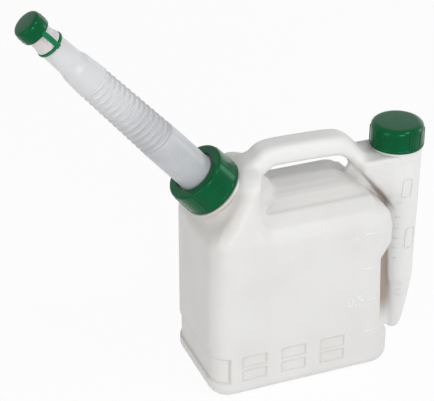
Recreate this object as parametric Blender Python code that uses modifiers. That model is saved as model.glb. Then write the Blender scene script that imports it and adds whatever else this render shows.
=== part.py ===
"""One-litre fuel mixing bottle with a bending spout and a side measuring tube.

Units are metres, +Z is up and the bottle stands on Z = 0. The long side of the
tank lies along X, its thickness along Y. The origin is the middle of the base.
"""

import math

import bmesh
import bpy
from mathutils import Matrix, Vector

# Driving dimensions of the tank
TANK_LENGTH = 0.132
TANK_WIDTH = 0.080
WALL = 0.0020
BASE_THICKNESS = 0.0034
SHOULDER_HEIGHT = 0.1246
SHOULDER_ROUNDING = 0.0165
CORNER_RADIUS = 0.014
BASE_FILLET = 0.009

# Slot between tank and measuring tube
SLOT_DEPTH = 0.0072
SLOT_FOOT_DEPTH = 0.0054
SLOT_LOW = 0.0225
SLOT_LOW_RAMP = 0.0105
SLOT_FALL = 0.0291
SLOT_HIGH_RAMP = 0.0120

# Finger ridge under the handle
RIDGE_RISE = 0.0149
RIDGE_LEFT_INSET = 0.0220
RIDGE_RIGHT_INSET = 0.0080
RIDGE_HALF_WIDTH = 0.0245
RIDGE_TOP_HALF_WIDTH = 0.0160
RIDGE_ROUNDING = 0.0060

# Pillar that carries the neck
PILLAR_ROUNDING = 0.0050

# Carrying handle, with room for the fingers over the ridge
FINGER_GAP = 0.0147
HANDLE_DEPTH = 0.0146
HANDLE_FALL = 0.0012
HANDLE_WIDTH = 0.0200
HANDLE_ROUNDING = 0.0058
HANDLE_LEFT_INSET = 0.0530
HANDLE_RIGHT_INSET = 0.0295

# Slanted main neck, measured from the lower rim of its collar
NECK_INSET = 0.0136
NECK_RISE = 0.0192
NECK_TILT = math.radians(41.0)
NECK_OUTER = 0.0173
NECK_BORE = 0.0152
NECK_HEIGHT = 0.0121
NECK_FLANGE_RADIUS = 0.0221
NECK_FLANGE_THICKNESS = 0.0024
NECK_ROOT_LENGTH = 0.0235
NECK_WAIST_RADIUS = 0.0208
NECK_ROOT_RADIUS = 0.0285

# Measuring tube and its funnel head
TUBE_OFFSET = 0.0149
HEAD_RISE = 0.0241
HEAD_HALF_WIDTH = 0.0163
HEAD_RADIUS = 0.0172
HEAD_LEFT_INSET = 0.0180
HEAD_ROUNDING = 0.0015
TUBE_RADIUS = 0.0108
TUBE_TIP_HEIGHT = 0.0015
TUBE_KINK_HEIGHT = 0.0430
WEB_THICKNESS = 0.0034
WEB_LOW = 0.0045

# Upright measuring neck
MEASURE_NECK_OUTER = 0.0144
MEASURE_NECK_BORE = 0.0122
MEASURE_NECK_HEIGHT = 0.0150
MEASURE_FLANGE_RADIUS = 0.0168
MEASURE_FLANGE_HEIGHT = 0.0018

# Screw threads
NECK_PITCH = 0.0040
NECK_TURNS = 2
MEASURE_PITCH = 0.0036
MEASURE_TURNS = 1.5
TIP_PITCH = 0.0028
SHORT_TURNS = 1
THREAD_DEPTH = 0.0014
THREAD_ROOT_WIDTH = 0.0015
THREAD_CREST_WIDTH = 0.0008
THREAD_SINK = 0.0005
TIP_THREAD_DEPTH = 0.0009
TIP_THREAD_START = 0.0012
THREAD_FADE_STEPS = 3
THREAD_END_share = 0.13

# Clearances
JOINT_GAP = 0.0003
SCREW_CLEARANCE = 0.0008
SWIVEL_CLEARANCE = 0.0006
OVERRUN = 0.004

# Collar that clamps the spout
COLLAR_RADIUS = 0.0216
COLLAR_LIP = 0.0026
COLLAR_HOLE_CLEARANCE = 0.0009
COLLAR_ROUNDING = 0.0022
COLLAR_TAPER = 0.0007
COLLAR_BAND = 0.0022
COLLAR_GRIPS = 8
COLLAR_GRIP_WIDTH = 0.0016
COLLAR_GRIP_DEPTH = 0.00032
GASKET_THICKNESS = 0.0015

# Pouring spout, stations along its axis from the lower rim of the collar
SPOUT_RADIUS = 0.0128
SPOUT_WALL = 0.0015
SPOUT_FLANGE_THICKNESS = 0.0020
SPOUT_SKIRT_LENGTH = 0.0050
BELLOWS_START = 0.0565
BELLOWS_LENGTH = 0.0638
BELLOWS_RIBS = 14
BELLOWS_START_RADIUS = 0.0127
BELLOWS_END_RADIUS = 0.0112
RIB_DEPTH = 0.0011
RIB_VALLEY_share = 0.08
RIB_CREST_share = 0.62
BELLOWS_WALL = 0.0012
NOZZLE_START_RADIUS = 0.0108
NOZZLE_STEP = 0.1352
NOZZLE_STEP_RADIUS = 0.0099
NOZZLE_STEP_LENGTH = 0.0035
NOZZLE_NARROW_RADIUS = 0.0087
NOZZLE_END_RADIUS = 0.00835
RING_STATION = 0.1575
RING_GROOVE_RADIUS = 0.0074
BEAD_RADIUS = 0.0087
NOZZLE_NECK_RADIUS = 0.0078
TIP_RADIUS = 0.0072
TIP_BORE = 0.0054

# Small cap on the spout and its tether
SPOUT_CAP_START = 0.1695
SPOUT_CAP_HEIGHT = 0.0100
SPOUT_CAP_RADIUS = 0.0101
SPOUT_CAP_WALL = 0.0012
SPOUT_CAP_ROUNDING = 0.0018
SPOUT_CAP_TAPER = 0.0006
SPOUT_CAP_GRIPS = 10
SPOUT_CAP_GRIP_WIDTH = 0.0008
GRIP_DEPTH = 0.0004
LINER_THICKNESS = 0.0010
RING_THICKNESS = 0.0016
RING_RADIUS = 0.0093
STRAP_WIDTH = 0.0032
STRAP_THICKNESS = 0.0011
STRAP_ANGLE = math.radians(-69.0)
STRAP_BLOCK = 0.0034

# Measuring cap
MEASURE_CAP_RADIUS = 0.0186
MEASURE_CAP_WALL = 0.0018
MEASURE_CAP_ROUNDING = 0.0040
MEASURE_CAP_GAP = 0.0014
MEASURE_CAP_GRIPS = 12
MEASURE_GRIP_WIDTH = 0.0016
MEASURE_LINER_THICKNESS = 0.0013

# Relief in the tank's faces
PANEL_LOW = 0.0133
PANEL_HEIGHT = 0.0190
PANEL_DEPTH = 0.0010
PANEL_WIDTH = 0.0172
PANEL_PITCH = 0.0284
PANEL_CENTRE = -0.0088
PANEL_RIB = 0.0030
BAND_INSET = 0.0110
FOOT_RECESS = 0.0012
FOOT_RIB = 0.0120
FOOT_LENGTH = 0.0360
FOOT_WIDTH = 0.0440

# Facets and the distance at which points are joined
WELD = 0.000002
SLIVER = 0.00004
CORNER_STEPS = 4
SMALL_CORNER_STEPS = 3
STRAP_STEPS = 4
ROUND_STEPS = 28
SMALL_STEPS = 20
SHARP_ANGLE = math.radians(32)
CORNER_LIMIT_share = 0.94

# Values that follow from the sizes above
HALF_LENGTH = TANK_LENGTH / 2
HALF_WIDTH = TANK_WIDTH / 2
FULL_TURN = 2 * math.pi
SLOT_HIGH = SHOULDER_HEIGHT - SLOT_FALL
RIDGE_HEIGHT = SHOULDER_HEIGHT + RIDGE_RISE
RIDGE_LEFT = HALF_LENGTH - RIDGE_LEFT_INSET
RIDGE_RIGHT = HALF_LENGTH - RIDGE_RIGHT_INSET
HANDLE_TOP = RIDGE_HEIGHT + FINGER_GAP + HANDLE_DEPTH
HANDLE_LEFT = HALF_LENGTH - HANDLE_LEFT_INSET
HANDLE_RIGHT = HALF_LENGTH - HANDLE_RIGHT_INSET
TUBE_X = HALF_LENGTH + TUBE_OFFSET
HEAD_TOP = SHOULDER_HEIGHT + HEAD_RISE
HEAD_LEFT = HALF_LENGTH - HEAD_LEFT_INSET
COLLAR_BORE = NECK_OUTER + THREAD_DEPTH + SCREW_CLEARANCE
FLANGE_TOP = -JOINT_GAP * 2
GASKET_LOW = NECK_HEIGHT + JOINT_GAP
SPOUT_FLANGE_LOW = GASKET_LOW + GASKET_THICKNESS + JOINT_GAP
SPOUT_FLANGE_HIGH = SPOUT_FLANGE_LOW + SPOUT_FLANGE_THICKNESS
COLLAR_LIP_LOW = SPOUT_FLANGE_HIGH + JOINT_GAP
COLLAR_HEIGHT = COLLAR_LIP_LOW + COLLAR_LIP
BELLOWS_END = BELLOWS_START + BELLOWS_LENGTH
BEND_STATION = BELLOWS_START + BELLOWS_LENGTH / 2
SPOUT_CAP_TOP = SPOUT_CAP_START + SPOUT_CAP_HEIGHT
TIP_LINER_HIGH = SPOUT_CAP_TOP - SPOUT_CAP_WALL - JOINT_GAP
TIP_LINER_LOW = TIP_LINER_HIGH - LINER_THICKNESS
TIP_END = TIP_LINER_LOW - JOINT_GAP
SPOUT_CAP_BORE = TIP_RADIUS + TIP_THREAD_DEPTH + SWIVEL_CLEARANCE
MEASURE_MOUTH = HEAD_TOP + MEASURE_NECK_HEIGHT
MEASURE_LINER_LOW = MEASURE_MOUTH + JOINT_GAP
MEASURE_LINER_HIGH = MEASURE_LINER_LOW + MEASURE_LINER_THICKNESS
MEASURE_CAP_LOW = HEAD_TOP + MEASURE_FLANGE_HEIGHT + MEASURE_CAP_GAP
MEASURE_CAP_INSIDE = MEASURE_LINER_HIGH + JOINT_GAP
MEASURE_CAP_TOP = MEASURE_CAP_INSIDE + MEASURE_CAP_WALL
MEASURE_CAP_BORE = MEASURE_NECK_OUTER + THREAD_DEPTH + SCREW_CLEARANCE
NECK_AXIS = Vector((-math.sin(NECK_TILT), 0, math.cos(NECK_TILT)))
NECK_CENTRE = Vector((NECK_INSET - HALF_LENGTH, 0, SHOULDER_HEIGHT + NECK_RISE))
NECK_TURN = Matrix.Rotation(-NECK_TILT, 4, "Y")

GREEN = (0.003, 0.105, 0.030, 1)
NATURAL_WHITE = (0.78, 0.78, 0.77, 1)
SPOUT_GREY = (0.62, 0.63, 0.65, 1)
SEAL_GREY = (0.06, 0.06, 0.06, 1)
LINER_WHITE = (0.70, 0.70, 0.68, 1)


# Scene, collections and materials
def clear_scene():
    for thing in list(bpy.data.objects):
        bpy.data.objects.remove(thing, do_unlink=True)


def new_collection(name):
    group = bpy.data.collections.new(name)
    bpy.context.scene.collection.children.link(group)
    return group


def plastic(name, colour, roughness):
    material = bpy.data.materials.new(name)
    material.use_nodes = True
    shader = material.node_tree.nodes["Principled BSDF"]
    shader.inputs["Base Color"].default_value = colour
    shader.inputs["Roughness"].default_value = roughness
    shader.inputs["Metallic"].default_value = 0
    return material


def new_object(name, mesh, group, matrix=None):
    thing = bpy.data.objects.new(name, mesh)
    group.objects.link(thing)
    if matrix is not None:
        thing.matrix_world = matrix
    return thing


def guide(name, mesh, matrix=None):
    """An object that only joins or cuts others."""
    thing = new_object(name, mesh, construction, matrix)
    thing.hide_render = True
    thing.display_type = "WIRE"
    return thing


# Meshes
def loft(name, rings):
    """A closed mesh through rings that have as many points each."""
    shape = bmesh.new()
    rows = [[shape.verts.new(point) for point in ring] for ring in rings]
    count = len(rows[0])
    for low, high in zip(rows, rows[1:]):
        for k in range(count):
            after = (k + 1) % count
            shape.faces.new((low[k], low[after], high[after], high[k]))
    shape.faces.new(list(reversed(rows[0])))
    shape.faces.new(rows[-1])
    bmesh.ops.recalc_face_normals(shape, faces=shape.faces)
    mesh = bpy.data.meshes.new(name)
    shape.to_mesh(mesh)
    shape.free()
    return mesh


def box_mesh(name, low, high):
    shape = bmesh.new()
    size = Vector(high) - Vector(low)
    middle = (Vector(high) + Vector(low)) / 2
    place = Matrix.Translation(middle) @ Matrix.Diagonal((*size, 1))
    bmesh.ops.create_cube(shape, size=1, matrix=place)
    mesh = bpy.data.meshes.new(name)
    shape.to_mesh(mesh)
    shape.free()
    return mesh


def joined_mesh(name, meshes):
    """Several closed meshes, apart from each other, as one mesh."""
    shape = bmesh.new()
    for mesh in meshes:
        shape.from_mesh(mesh)
    whole = bpy.data.meshes.new(name)
    shape.to_mesh(whole)
    shape.free()
    return whole


def arc(centre_r, centre_z, radius, start, end, steps):
    """Points of a round edge; angles in degrees from outward, up."""
    points = []
    for k in range(steps + 1):
        angle = math.radians(start + (end - start) * k / steps)
        across = centre_r + radius * math.cos(angle)
        points.append((across, centre_z + radius * math.sin(angle)))
    return points


def turned(name, profile, steps, closed, group, matrix=None, start=0.0):
    """A turned piece: the profile (radius, height) runs down its outer side."""
    mesh = bpy.data.meshes.new(name)
    points = [Vector((r, 0, z - start)) for r, z in profile]
    edges = [(k, k + 1) for k in range(len(points) - 1)]
    if closed:
        edges.append((len(points) - 1, 0))
    mesh.from_pydata(points, edges, [])
    thing = new_object(name, mesh, group, matrix)
    screw = thing.modifiers.new("turn", "SCREW")
    screw.axis = "Z"
    screw.angle = FULL_TURN
    screw.steps = steps
    screw.render_steps = steps
    screw.use_merge_vertices = True
    screw.merge_threshold = WELD
    return thing


def thread_mesh(name, radius, depth, pitch, turns, start, steps, inward=False):
    """A helical ridge whose root is sunk in the wall that carries it."""
    side = -1 if inward else 1
    count = round(steps * turns)
    rings = []
    for k in range(count + 1):
        angle = FULL_TURN * k / steps
        if inward:
            angle += math.pi
        height = start + pitch * k / steps
        near_end = min(k, count - k) / THREAD_FADE_STEPS
        fade = min(1, THREAD_END_share + near_end)
        root = radius - side * THREAD_SINK
        crest = radius + side * depth * fade
        low, high = -THREAD_ROOT_WIDTH / 2, THREAD_ROOT_WIDTH / 2
        slim = THREAD_CREST_WIDTH / 2
        section = ((root, low), (crest, -slim), (crest, slim), (root, high))
        turn = Matrix.Rotation(angle, 3, "Z")
        rings.append([turn @ Vector((r, 0, height + z)) for r, z in section])
    return loft(name, rings)


def boolean(target, tool, operation, solver="EXACT"):
    cut = target.modifiers.new(tool.name, "BOOLEAN")
    cut.operation = operation
    cut.object = tool
    cut.solver = solver
    return cut


def finish_piece(thing, material):
    """Bakes the modifiers, gives the material and shades it smooth."""
    bpy.context.view_layer.update()
    graph = bpy.context.evaluated_depsgraph_get()
    mesh = bpy.data.meshes.new_from_object(thing.evaluated_get(graph))
    shape = bmesh.new()
    shape.from_mesh(mesh)
    bmesh.ops.remove_doubles(shape, verts=shape.verts, dist=WELD)
    bmesh.ops.dissolve_degenerate(shape, dist=SLIVER, edges=shape.edges)
    bmesh.ops.recalc_face_normals(shape, faces=shape.faces)
    shape.to_mesh(mesh)
    shape.free()
    thing.modifiers.clear()
    thing.data = mesh
    mesh.materials.clear()
    mesh.materials.append(material)
    for face in mesh.polygons:
        face.material_index = 0
    mesh.shade_smooth()
    mesh.set_sharp_from_angle(angle=SHARP_ANGLE)
    return thing


def on_neck(station=0.0):
    """The frame of the slanted neck, at a station along its axis."""
    place = NECK_CENTRE + NECK_AXIS * station
    return Matrix.Translation(place) @ NECK_TURN


def on_tube(height=0.0):
    return Matrix.Translation((TUBE_X, 0, height))


# Sections of the tank
def rounded_section(left, right, half, left_radius, right_radius, z):
    """A rounded rectangle in the plane Z = z, anticlockwise from the right."""
    limit = CORNER_LIMIT_share * min(half, (right - left) / 2)
    near_left = min(left_radius, limit)
    near_right = min(right_radius, limit)
    corners = (
        (right - near_right, half - near_right, near_right, 0),
        (left + near_left, half - near_left, near_left, 90),
        (left + near_left, near_left - half, near_left, 180),
        (right - near_right, near_right - half, near_right, 270),
    )
    ring = []
    for x, y, radius, start in corners:
        for k in range(CORNER_STEPS + 1):
            angle = math.radians(start + 90 * k / CORNER_STEPS)
            across, deep = radius * math.cos(angle), radius * math.sin(angle)
            ring.append(Vector((x + across, y + deep, z)))
    return ring


def body_form(inset):
    """The tank up to its shoulder, with the slot in its right end."""
    floor = BASE_THICKNESS if inset else 0
    fillet = BASE_FILLET - inset
    radius = CORNER_RADIUS - inset
    left, right, half = inset - HALF_LENGTH, HALF_LENGTH - inset, HALF_WIDTH - inset
    slot, slot_foot = right - SLOT_DEPTH, right - SLOT_FOOT_DEPTH
    rings = []
    for k in range(CORNER_STEPS):
        angle = math.radians(90 * k / CORNER_STEPS)
        pull = fillet * (1 - math.sin(angle))
        z = floor + fillet * (1 - math.cos(angle))
        rings.append(rounded_section(left + pull, right - pull, half - pull, radius, radius, z))
    ends = (
        (BASE_FILLET + floor, right), (SLOT_LOW, right), (SLOT_LOW + SLOT_LOW_RAMP, slot_foot),
        (SLOT_HIGH - SLOT_HIGH_RAMP, slot), (SLOT_HIGH, right),
    )
    for z, end in ends:
        rings.append(rounded_section(left, end, half, radius, radius, z))
    for height_share, right_share, half_share, left_share in SHOULDER_shares:
        z = SHOULDER_HEIGHT - inset - SHOULDER_ROUNDING * (1 - height_share)
        rings.append(rounded_section(left + left_share * SHOULDER_ROUNDING,
                                     right - right_share * SHOULDER_ROUNDING,
                                     half * half_share, radius, radius, z))
    return loft("body", rings)


# The shoulder's rounding: height, pull of the right end, half width, pull of the left end
SHOULDER_shares = (
    (0.00, 0.00, 1.00, 0.00),
    (0.45, 0.14, 0.995, 0.00),
    (0.74, 0.40, 0.98, 0.00),
    (0.92, 0.80, 0.94, 0.08),
    (1.00, 1.20, 0.86, 0.20),
    (1.10, 1.45, 0.64, 0.40),
)


def ridge_form(inset):
    """The narrow ridge under the handle, which leaves room for the fingers."""
    rings = []
    top = RIDGE_HEIGHT - inset
    low = SHOULDER_HEIGHT - SHOULDER_ROUNDING
    rise = top - SHOULDER_HEIGHT
    wall = (RIDGE_HALF_WIDTH - inset, RIDGE_TOP_HALF_WIDTH - inset)
    for height_share, width_share, right_share in RIDGE_shares:
        z = SHOULDER_HEIGHT + rise * height_share if height_share >= 0 else low
        half = wall[0] + (wall[1] - wall[0]) * width_share
        end = RIDGE_RIGHT - inset - RIDGE_RIGHT * right_share
        rings.append(rounded_section(-RIDGE_LEFT, end, half, half / 2, RIDGE_ROUNDING - inset, z))
    return loft("ridge", rings)


# Height above the shoulder, narrowing, pull of the right end
RIDGE_shares = (
    (-1, -0.10, 0.00),
    (0.10, 0.00, 0.04),
    (0.55, 0.45, 0.130),
    (0.82, 0.76, 0.230),
    (0.95, 1.05, 0.295),
    (1.00, 1.45, 0.340),
)


def pillar_form(inset):
    """The front and back slopes from the shoulder up to the handle's root."""
    rings = []
    low = SHOULDER_HEIGHT - SHOULDER_ROUNDING
    rise = HANDLE_TOP - HANDLE_DEPTH / 2 - inset - low
    for height_share, half_share, left_share, right_share in PILLAR_shares:
        half = HALF_WIDTH * half_share - inset
        left = NECK_INSET * left_share + inset - HALF_LENGTH
        right = NECK_INSET * right_share - inset - HALF_LENGTH
        z = low + rise * height_share
        rings.append(rounded_section(left, right, half, half / 2, PILLAR_ROUNDING, z))
    return loft("pillar", rings)


# Height, half width, and left and right end as shares of the neck's way in from the tank's end
PILLAR_shares = (
    (0.000, 0.990, 0.37, 3.01),
    (0.223, 0.975, 0.44, 2.87),
    (0.373, 0.925, 0.74, 2.76),
    (0.520, 0.850, 1.14, 2.72),
    (0.690, 0.762, 1.58, 2.79),
    (0.766, 0.712, 1.77, 2.86),
    (0.831, 0.637, 1.91, 2.94),
    (0.878, 0.537, 2.04, 3.01),
    (0.906, 0.450, 2.15, 3.06),
    (0.925, 0.325, 2.26, 3.11),
)


def neck_form(inset):
    """The slanted neck with its disc and the round shoulder that carries it."""
    low = FLANGE_TOP - NECK_FLANGE_THICKNESS
    edge = NECK_FLANGE_THICKNESS / 3
    root = [(NECK_WAIST_RADIUS - inset, low - edge), (NECK_ROOT_RADIUS - inset, -NECK_ROOT_LENGTH),
            (0, -NECK_ROOT_LENGTH)]
    if inset:
        high = NECK_HEIGHT + OVERRUN
        profile = [(0, high), (NECK_BORE, high), (NECK_BORE, low)] + root
    else:
        chamfer = WALL / 4
        mouth = [(0, NECK_HEIGHT), (NECK_OUTER - chamfer, NECK_HEIGHT), (NECK_OUTER, NECK_HEIGHT - chamfer)]
        profile = mouth + [(NECK_OUTER, FLANGE_TOP), (NECK_FLANGE_RADIUS - edge, FLANGE_TOP),
                   (NECK_FLANGE_RADIUS, FLANGE_TOP - edge), (NECK_FLANGE_RADIUS, low + edge),
                   (NECK_FLANGE_RADIUS - edge, low)] + root
    return turned("neck", profile, ROUND_STEPS, False, construction, on_neck())


def handle_form(inset):
    """The bent bar of the handle, from the pillar to the funnel head."""
    wide = HANDLE_WIDTH / 2 - inset
    rounding = HANDLE_ROUNDING - inset
    middle = HANDLE_TOP - HANDLE_DEPTH / 2
    left, right = (-HANDLE_LEFT, middle), (HANDLE_RIGHT, middle - HANDLE_FALL)
    path = []
    for end, table in ((left, HANDLE_LEFT_shares), (right, HANDLE_RIGHT_shares)):
        for along_share, drop_share, depth_share in table:
            x = end[0] + HANDLE_DEPTH * along_share
            path.append((x, end[1] - HANDLE_DEPTH * drop_share, depth_share))
    rings = []
    for k, (x, z, depth_share) in enumerate(path):
        before, after = path[max(k - 1, 0)], path[min(k + 1, len(path) - 1)]
        along = Vector((after[0] - before[0], 0, after[1] - before[1])).normalized()
        across = Vector((-along.z, 0, along.x))
        deep = HANDLE_DEPTH * depth_share / 2 - inset
        flat = rounded_section(-deep, deep, wide, rounding, rounding, 0)
        rings.append([Vector((x, point.y, z)) + across * point.x for point in flat])
    return loft("handle", rings)


# The bar's way from each bend, along and down, and its depth, as shares of the full depth
HANDLE_LEFT_shares = (
    (-1.75, 1.36, 1.00), (-1.00, 0.70, 1.00), (-0.45, 0.28, 1.00), (0.00, 0.00, 1.00),
)
HANDLE_RIGHT_shares = (
    (-0.25, 0.00, 1.00), (0.15, 0.10, 0.92), (0.58, 0.45, 0.80), (1.06, 0.98, 0.76), (1.50, 1.50, 0.76),
)


def tube_form(inset):
    """The measuring tube and the funnel head above it."""
    rings = []
    right_line = TUBE_X + HEAD_RADIUS
    low_rise = TUBE_KINK_HEIGHT - TUBE_TIP_HEIGHT
    for height_share, radius_share, lean_share, rise_share in TUBE_LOW_shares:
        z = TUBE_TIP_HEIGHT + low_rise * height_share + inset * rise_share
        radius = TUBE_RADIUS * radius_share - inset
        middle = right_line - TUBE_RADIUS * lean_share
        rings.append(rounded_section(middle - radius, middle + radius, radius, radius, radius, z))
    rise = HEAD_TOP - TUBE_KINK_HEIGHT
    reach = right_line - HEAD_LEFT
    for height_share, left_share, half_share, round_share, top_share in HEAD_shares:
        z = TUBE_KINK_HEIGHT + rise * height_share - inset * min(1, top_share)
        half = HEAD_HALF_WIDTH * half_share - inset
        left = right_line - reach * left_share + inset
        right = right_line - inset - HEAD_ROUNDING * max(0, top_share - 1)
        rings.append(rounded_section(left, right, half, half * round_share, half, z))
    return loft("tube", rings)


# Height up to the kink, radius, distance of the axis from the outer side
TUBE_LOW_shares = (
    (0.000, 0.28, 1.18, 1.6),
    (0.035, 0.40, 1.12, 1.4),
    (0.160, 0.50, 1.04, 1.0),
    (0.540, 0.66, 0.92, 0.5),
    (0.960, 0.84, 0.88, 0.2),
)
# Height above the kink, reach to the left, half width, rounding of the left, nearness to the top
HEAD_shares = (
    (0.02, 0.400, 0.62, 1.0, 0),
    (0.30, 0.435, 0.68, 1.0, 0),
    (0.58, 0.480, 0.76, 0.9, 0),
    (0.66, 0.530, 0.82, 0.7, 0),
    (0.80, 0.780, 0.93, 0.45, 0),
    (0.92, 0.985, 0.99, 0.45, 1),
    (0.975, 1.000, 0.97, 0.45, 1),
    (1.00, 0.975, 0.87, 0.45, 2),
)


def web_form():
    """The thin pinched web between tank, handle, head and tube."""
    half = WEB_THICKNESS / 2
    tube = TUBE_X + HEAD_RADIUS - TUBE_RADIUS
    outline = (
        (HALF_LENGTH - 2 * SLOT_DEPTH, SLOT_LOW),
        (HALF_LENGTH - SLOT_DEPTH, WEB_LOW),
        (tube, WEB_LOW),
        (tube, SHOULDER_HEIGHT - SHOULDER_ROUNDING),
        (HEAD_LEFT + HEAD_RADIUS, HEAD_TOP - HEAD_RADIUS / 2),
    )
    for along_share, drop_share in WEB_TOP_shares:
        outline += ((HANDLE_RIGHT + HANDLE_DEPTH * along_share, HEAD_TOP - HEAD_RADIUS * drop_share),)
    outline += (
        (HANDLE_RIGHT + (HEAD_LEFT - HANDLE_RIGHT) / 8, RIDGE_HEIGHT - 3 * WALL),
        (HANDLE_RIGHT - HANDLE_DEPTH / 2, SHOULDER_HEIGHT),
    )
    rings = [[Vector((x, side * half, z)) for x, z in outline] for side in (-1, 1)]
    return loft("web", rings)


# The web's edge in the gap under the handle: along the handle's depth, down the head's radius
WEB_TOP_shares = ((0.95, 0.10), (0.74, 0.15), (0.40, 0.50))


def measure_neck_form():
    flange = HEAD_TOP + MEASURE_FLANGE_HEIGHT
    low = HEAD_TOP - 2 * WALL
    profile = [(0, MEASURE_MOUTH), (MEASURE_NECK_OUTER, MEASURE_MOUTH), (MEASURE_NECK_OUTER, flange),
               (MEASURE_FLANGE_RADIUS, flange), (MEASURE_FLANGE_RADIUS - WALL / 2, low), (0, low)]
    return turned("measure_neck", profile, ROUND_STEPS, False, construction, on_tube())


def measure_bore_form():
    high, low = MEASURE_MOUTH + OVERRUN, HEAD_TOP - 3 * WALL
    profile = [(0, high), (MEASURE_NECK_BORE, high), (MEASURE_NECK_BORE, low), (0, low)]
    return turned("measure_bore", profile, ROUND_STEPS, False, construction, on_tube())


def relief_cutter():
    """Stacked bars on both faces, the wrapped band and the foot's recesses."""
    boxes = []
    bar = (PANEL_HEIGHT - PANEL_RIB) / 2
    for side in (-1, 1):
        outer = side * (HALF_WIDTH + OVERRUN)
        inner = side * (HALF_WIDTH - PANEL_DEPTH)
        for column in (-1, 0, 1):
            middle = PANEL_CENTRE + column * PANEL_PITCH
            for row in (0, 1):
                low = PANEL_LOW + row * (bar + PANEL_RIB)
                left, right = middle - PANEL_WIDTH / 2, middle + PANEL_WIDTH / 2
                near, far = sorted((outer, inner))
                boxes.append(box_mesh("bar", (left, near, low), (right, far, low + bar)))
    half = FOOT_WIDTH / 2
    for side in (-1, 1):
        middle = side * (FOOT_RIB + FOOT_LENGTH) / 2
        left, right = middle - FOOT_LENGTH / 2, middle + FOOT_LENGTH / 2
        boxes.append(box_mesh("foot", (left, -half, -OVERRUN), (right, half, FOOT_RECESS)))
    return joined_mesh("relief", boxes)


def band_cutter():
    """A shallow band round the left end, between two rounded sections."""
    left, half = -HALF_LENGTH, HALF_WIDTH
    shape = []
    for z in (PANEL_LOW, PANEL_LOW + PANEL_HEIGHT):
        corner = CORNER_RADIUS + OVERRUN
        shape.append(rounded_section(left - OVERRUN, left + BAND_INSET, half + OVERRUN, corner, WALL, z))
    band = guide("band", loft("band", shape))
    core_rings = []
    for z in (PANEL_LOW - OVERRUN, PANEL_LOW + PANEL_HEIGHT + OVERRUN):
        core_rings.append(rounded_section(left + PANEL_DEPTH, HALF_LENGTH, half - PANEL_DEPTH,
                                          CORNER_RADIUS - PANEL_DEPTH, CORNER_RADIUS, z))
    core = guide("band_core", loft("band_core", core_rings))
    boolean(band, core, "DIFFERENCE")
    return band


def make_tank():
    """The tank, joined by manifold booleans, as exact ones leave open edges along its threads."""
    tank = new_object("tank", body_form(0), parts)
    solids = [guide(name, mesh) for name, mesh in (
        ("ridge_solid", ridge_form(0)), ("pillar_solid", pillar_form(0)), ("web_solid", web_form()),
        ("tube_solid", tube_form(0)), ("handle_solid", handle_form(0)))]
    solids += [neck_form(0), measure_neck_form()]
    solids.append(guide("neck_thread", thread_mesh(
        "neck_thread", NECK_OUTER, THREAD_DEPTH, NECK_PITCH, NECK_TURNS,
        THREAD_ROOT_WIDTH, ROUND_STEPS), on_neck()))
    solids.append(guide("measure_thread", thread_mesh(
        "measure_thread", MEASURE_NECK_OUTER, THREAD_DEPTH, MEASURE_PITCH, MEASURE_TURNS,
        MEASURE_FLANGE_HEIGHT + MEASURE_PITCH, ROUND_STEPS), on_tube(HEAD_TOP)))
    for solid in solids:
        boolean(tank, solid, "UNION", "MANIFOLD")
    hollow = guide("hollow", body_form(WALL))
    spaces = [guide(name, mesh) for name, mesh in (
        ("ridge_space", ridge_form(WALL)), ("pillar_space", pillar_form(WALL)),
        ("tube_space", tube_form(WALL)), ("handle_space", handle_form(WALL)))]
    spaces += [neck_form(WALL), measure_bore_form()]
    for space in spaces:
        boolean(hollow, space, "UNION", "MANIFOLD")
    boolean(tank, hollow, "DIFFERENCE", "MANIFOLD")
    boolean(tank, guide("relief", relief_cutter()), "DIFFERENCE", "MANIFOLD")
    boolean(tank, band_cutter(), "DIFFERENCE", "MANIFOLD")
    for thing in solids + spaces:
        thing.hide_render = True
        thing.display_type = "WIRE"
    return finish_piece(tank, plastic("natural_polyethylene", NATURAL_WHITE, 0.42))


# Screw collar, gasket and spout
def ribs_mesh(name, count, radius, width, depth, low, high):
    """Grip ribs round a cap, sunk into its side."""
    ribs = []
    sunk = radius - depth - THREAD_SINK
    for k in range(count):
        rib = box_mesh(name, (sunk, -width / 2, low), (radius + depth, width / 2, high))
        rib.transform(Matrix.Rotation(FULL_TURN * k / count, 4, "Z"))
        ribs.append(rib)
    return joined_mesh(name, ribs)


def make_collar():
    hole = SPOUT_RADIUS + COLLAR_HOLE_CLEARANCE
    body = COLLAR_RADIUS - GRIP_DEPTH
    top = body - COLLAR_TAPER
    profile = [(hole, COLLAR_HEIGHT)]
    edge = COLLAR_HEIGHT - COLLAR_ROUNDING
    profile += arc(top - COLLAR_ROUNDING, edge, COLLAR_ROUNDING, 90, 0, CORNER_STEPS)
    profile += [(body, COLLAR_BAND), (COLLAR_RADIUS, COLLAR_BAND), (COLLAR_RADIUS, 0), (COLLAR_BORE, 0),
                (COLLAR_BORE, COLLAR_LIP_LOW), (hole, COLLAR_LIP_LOW)]
    collar = turned("spout_collar", profile, ROUND_STEPS, True, parts, on_neck())
    thread = guide("collar_thread", thread_mesh(
        "collar_thread", COLLAR_BORE, THREAD_DEPTH, NECK_PITCH, SHORT_TURNS, THREAD_ROOT_WIDTH,
        ROUND_STEPS, True), on_neck())
    grips = guide("collar_grips", ribs_mesh(
        "collar_grips", COLLAR_GRIPS, body, COLLAR_GRIP_WIDTH, COLLAR_GRIP_DEPTH, COLLAR_BAND / 2,
        edge), on_neck())
    boolean(collar, thread, "UNION")
    boolean(collar, grips, "UNION")
    return finish_piece(collar, plastic("green_collar", GREEN, 0.24))


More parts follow.
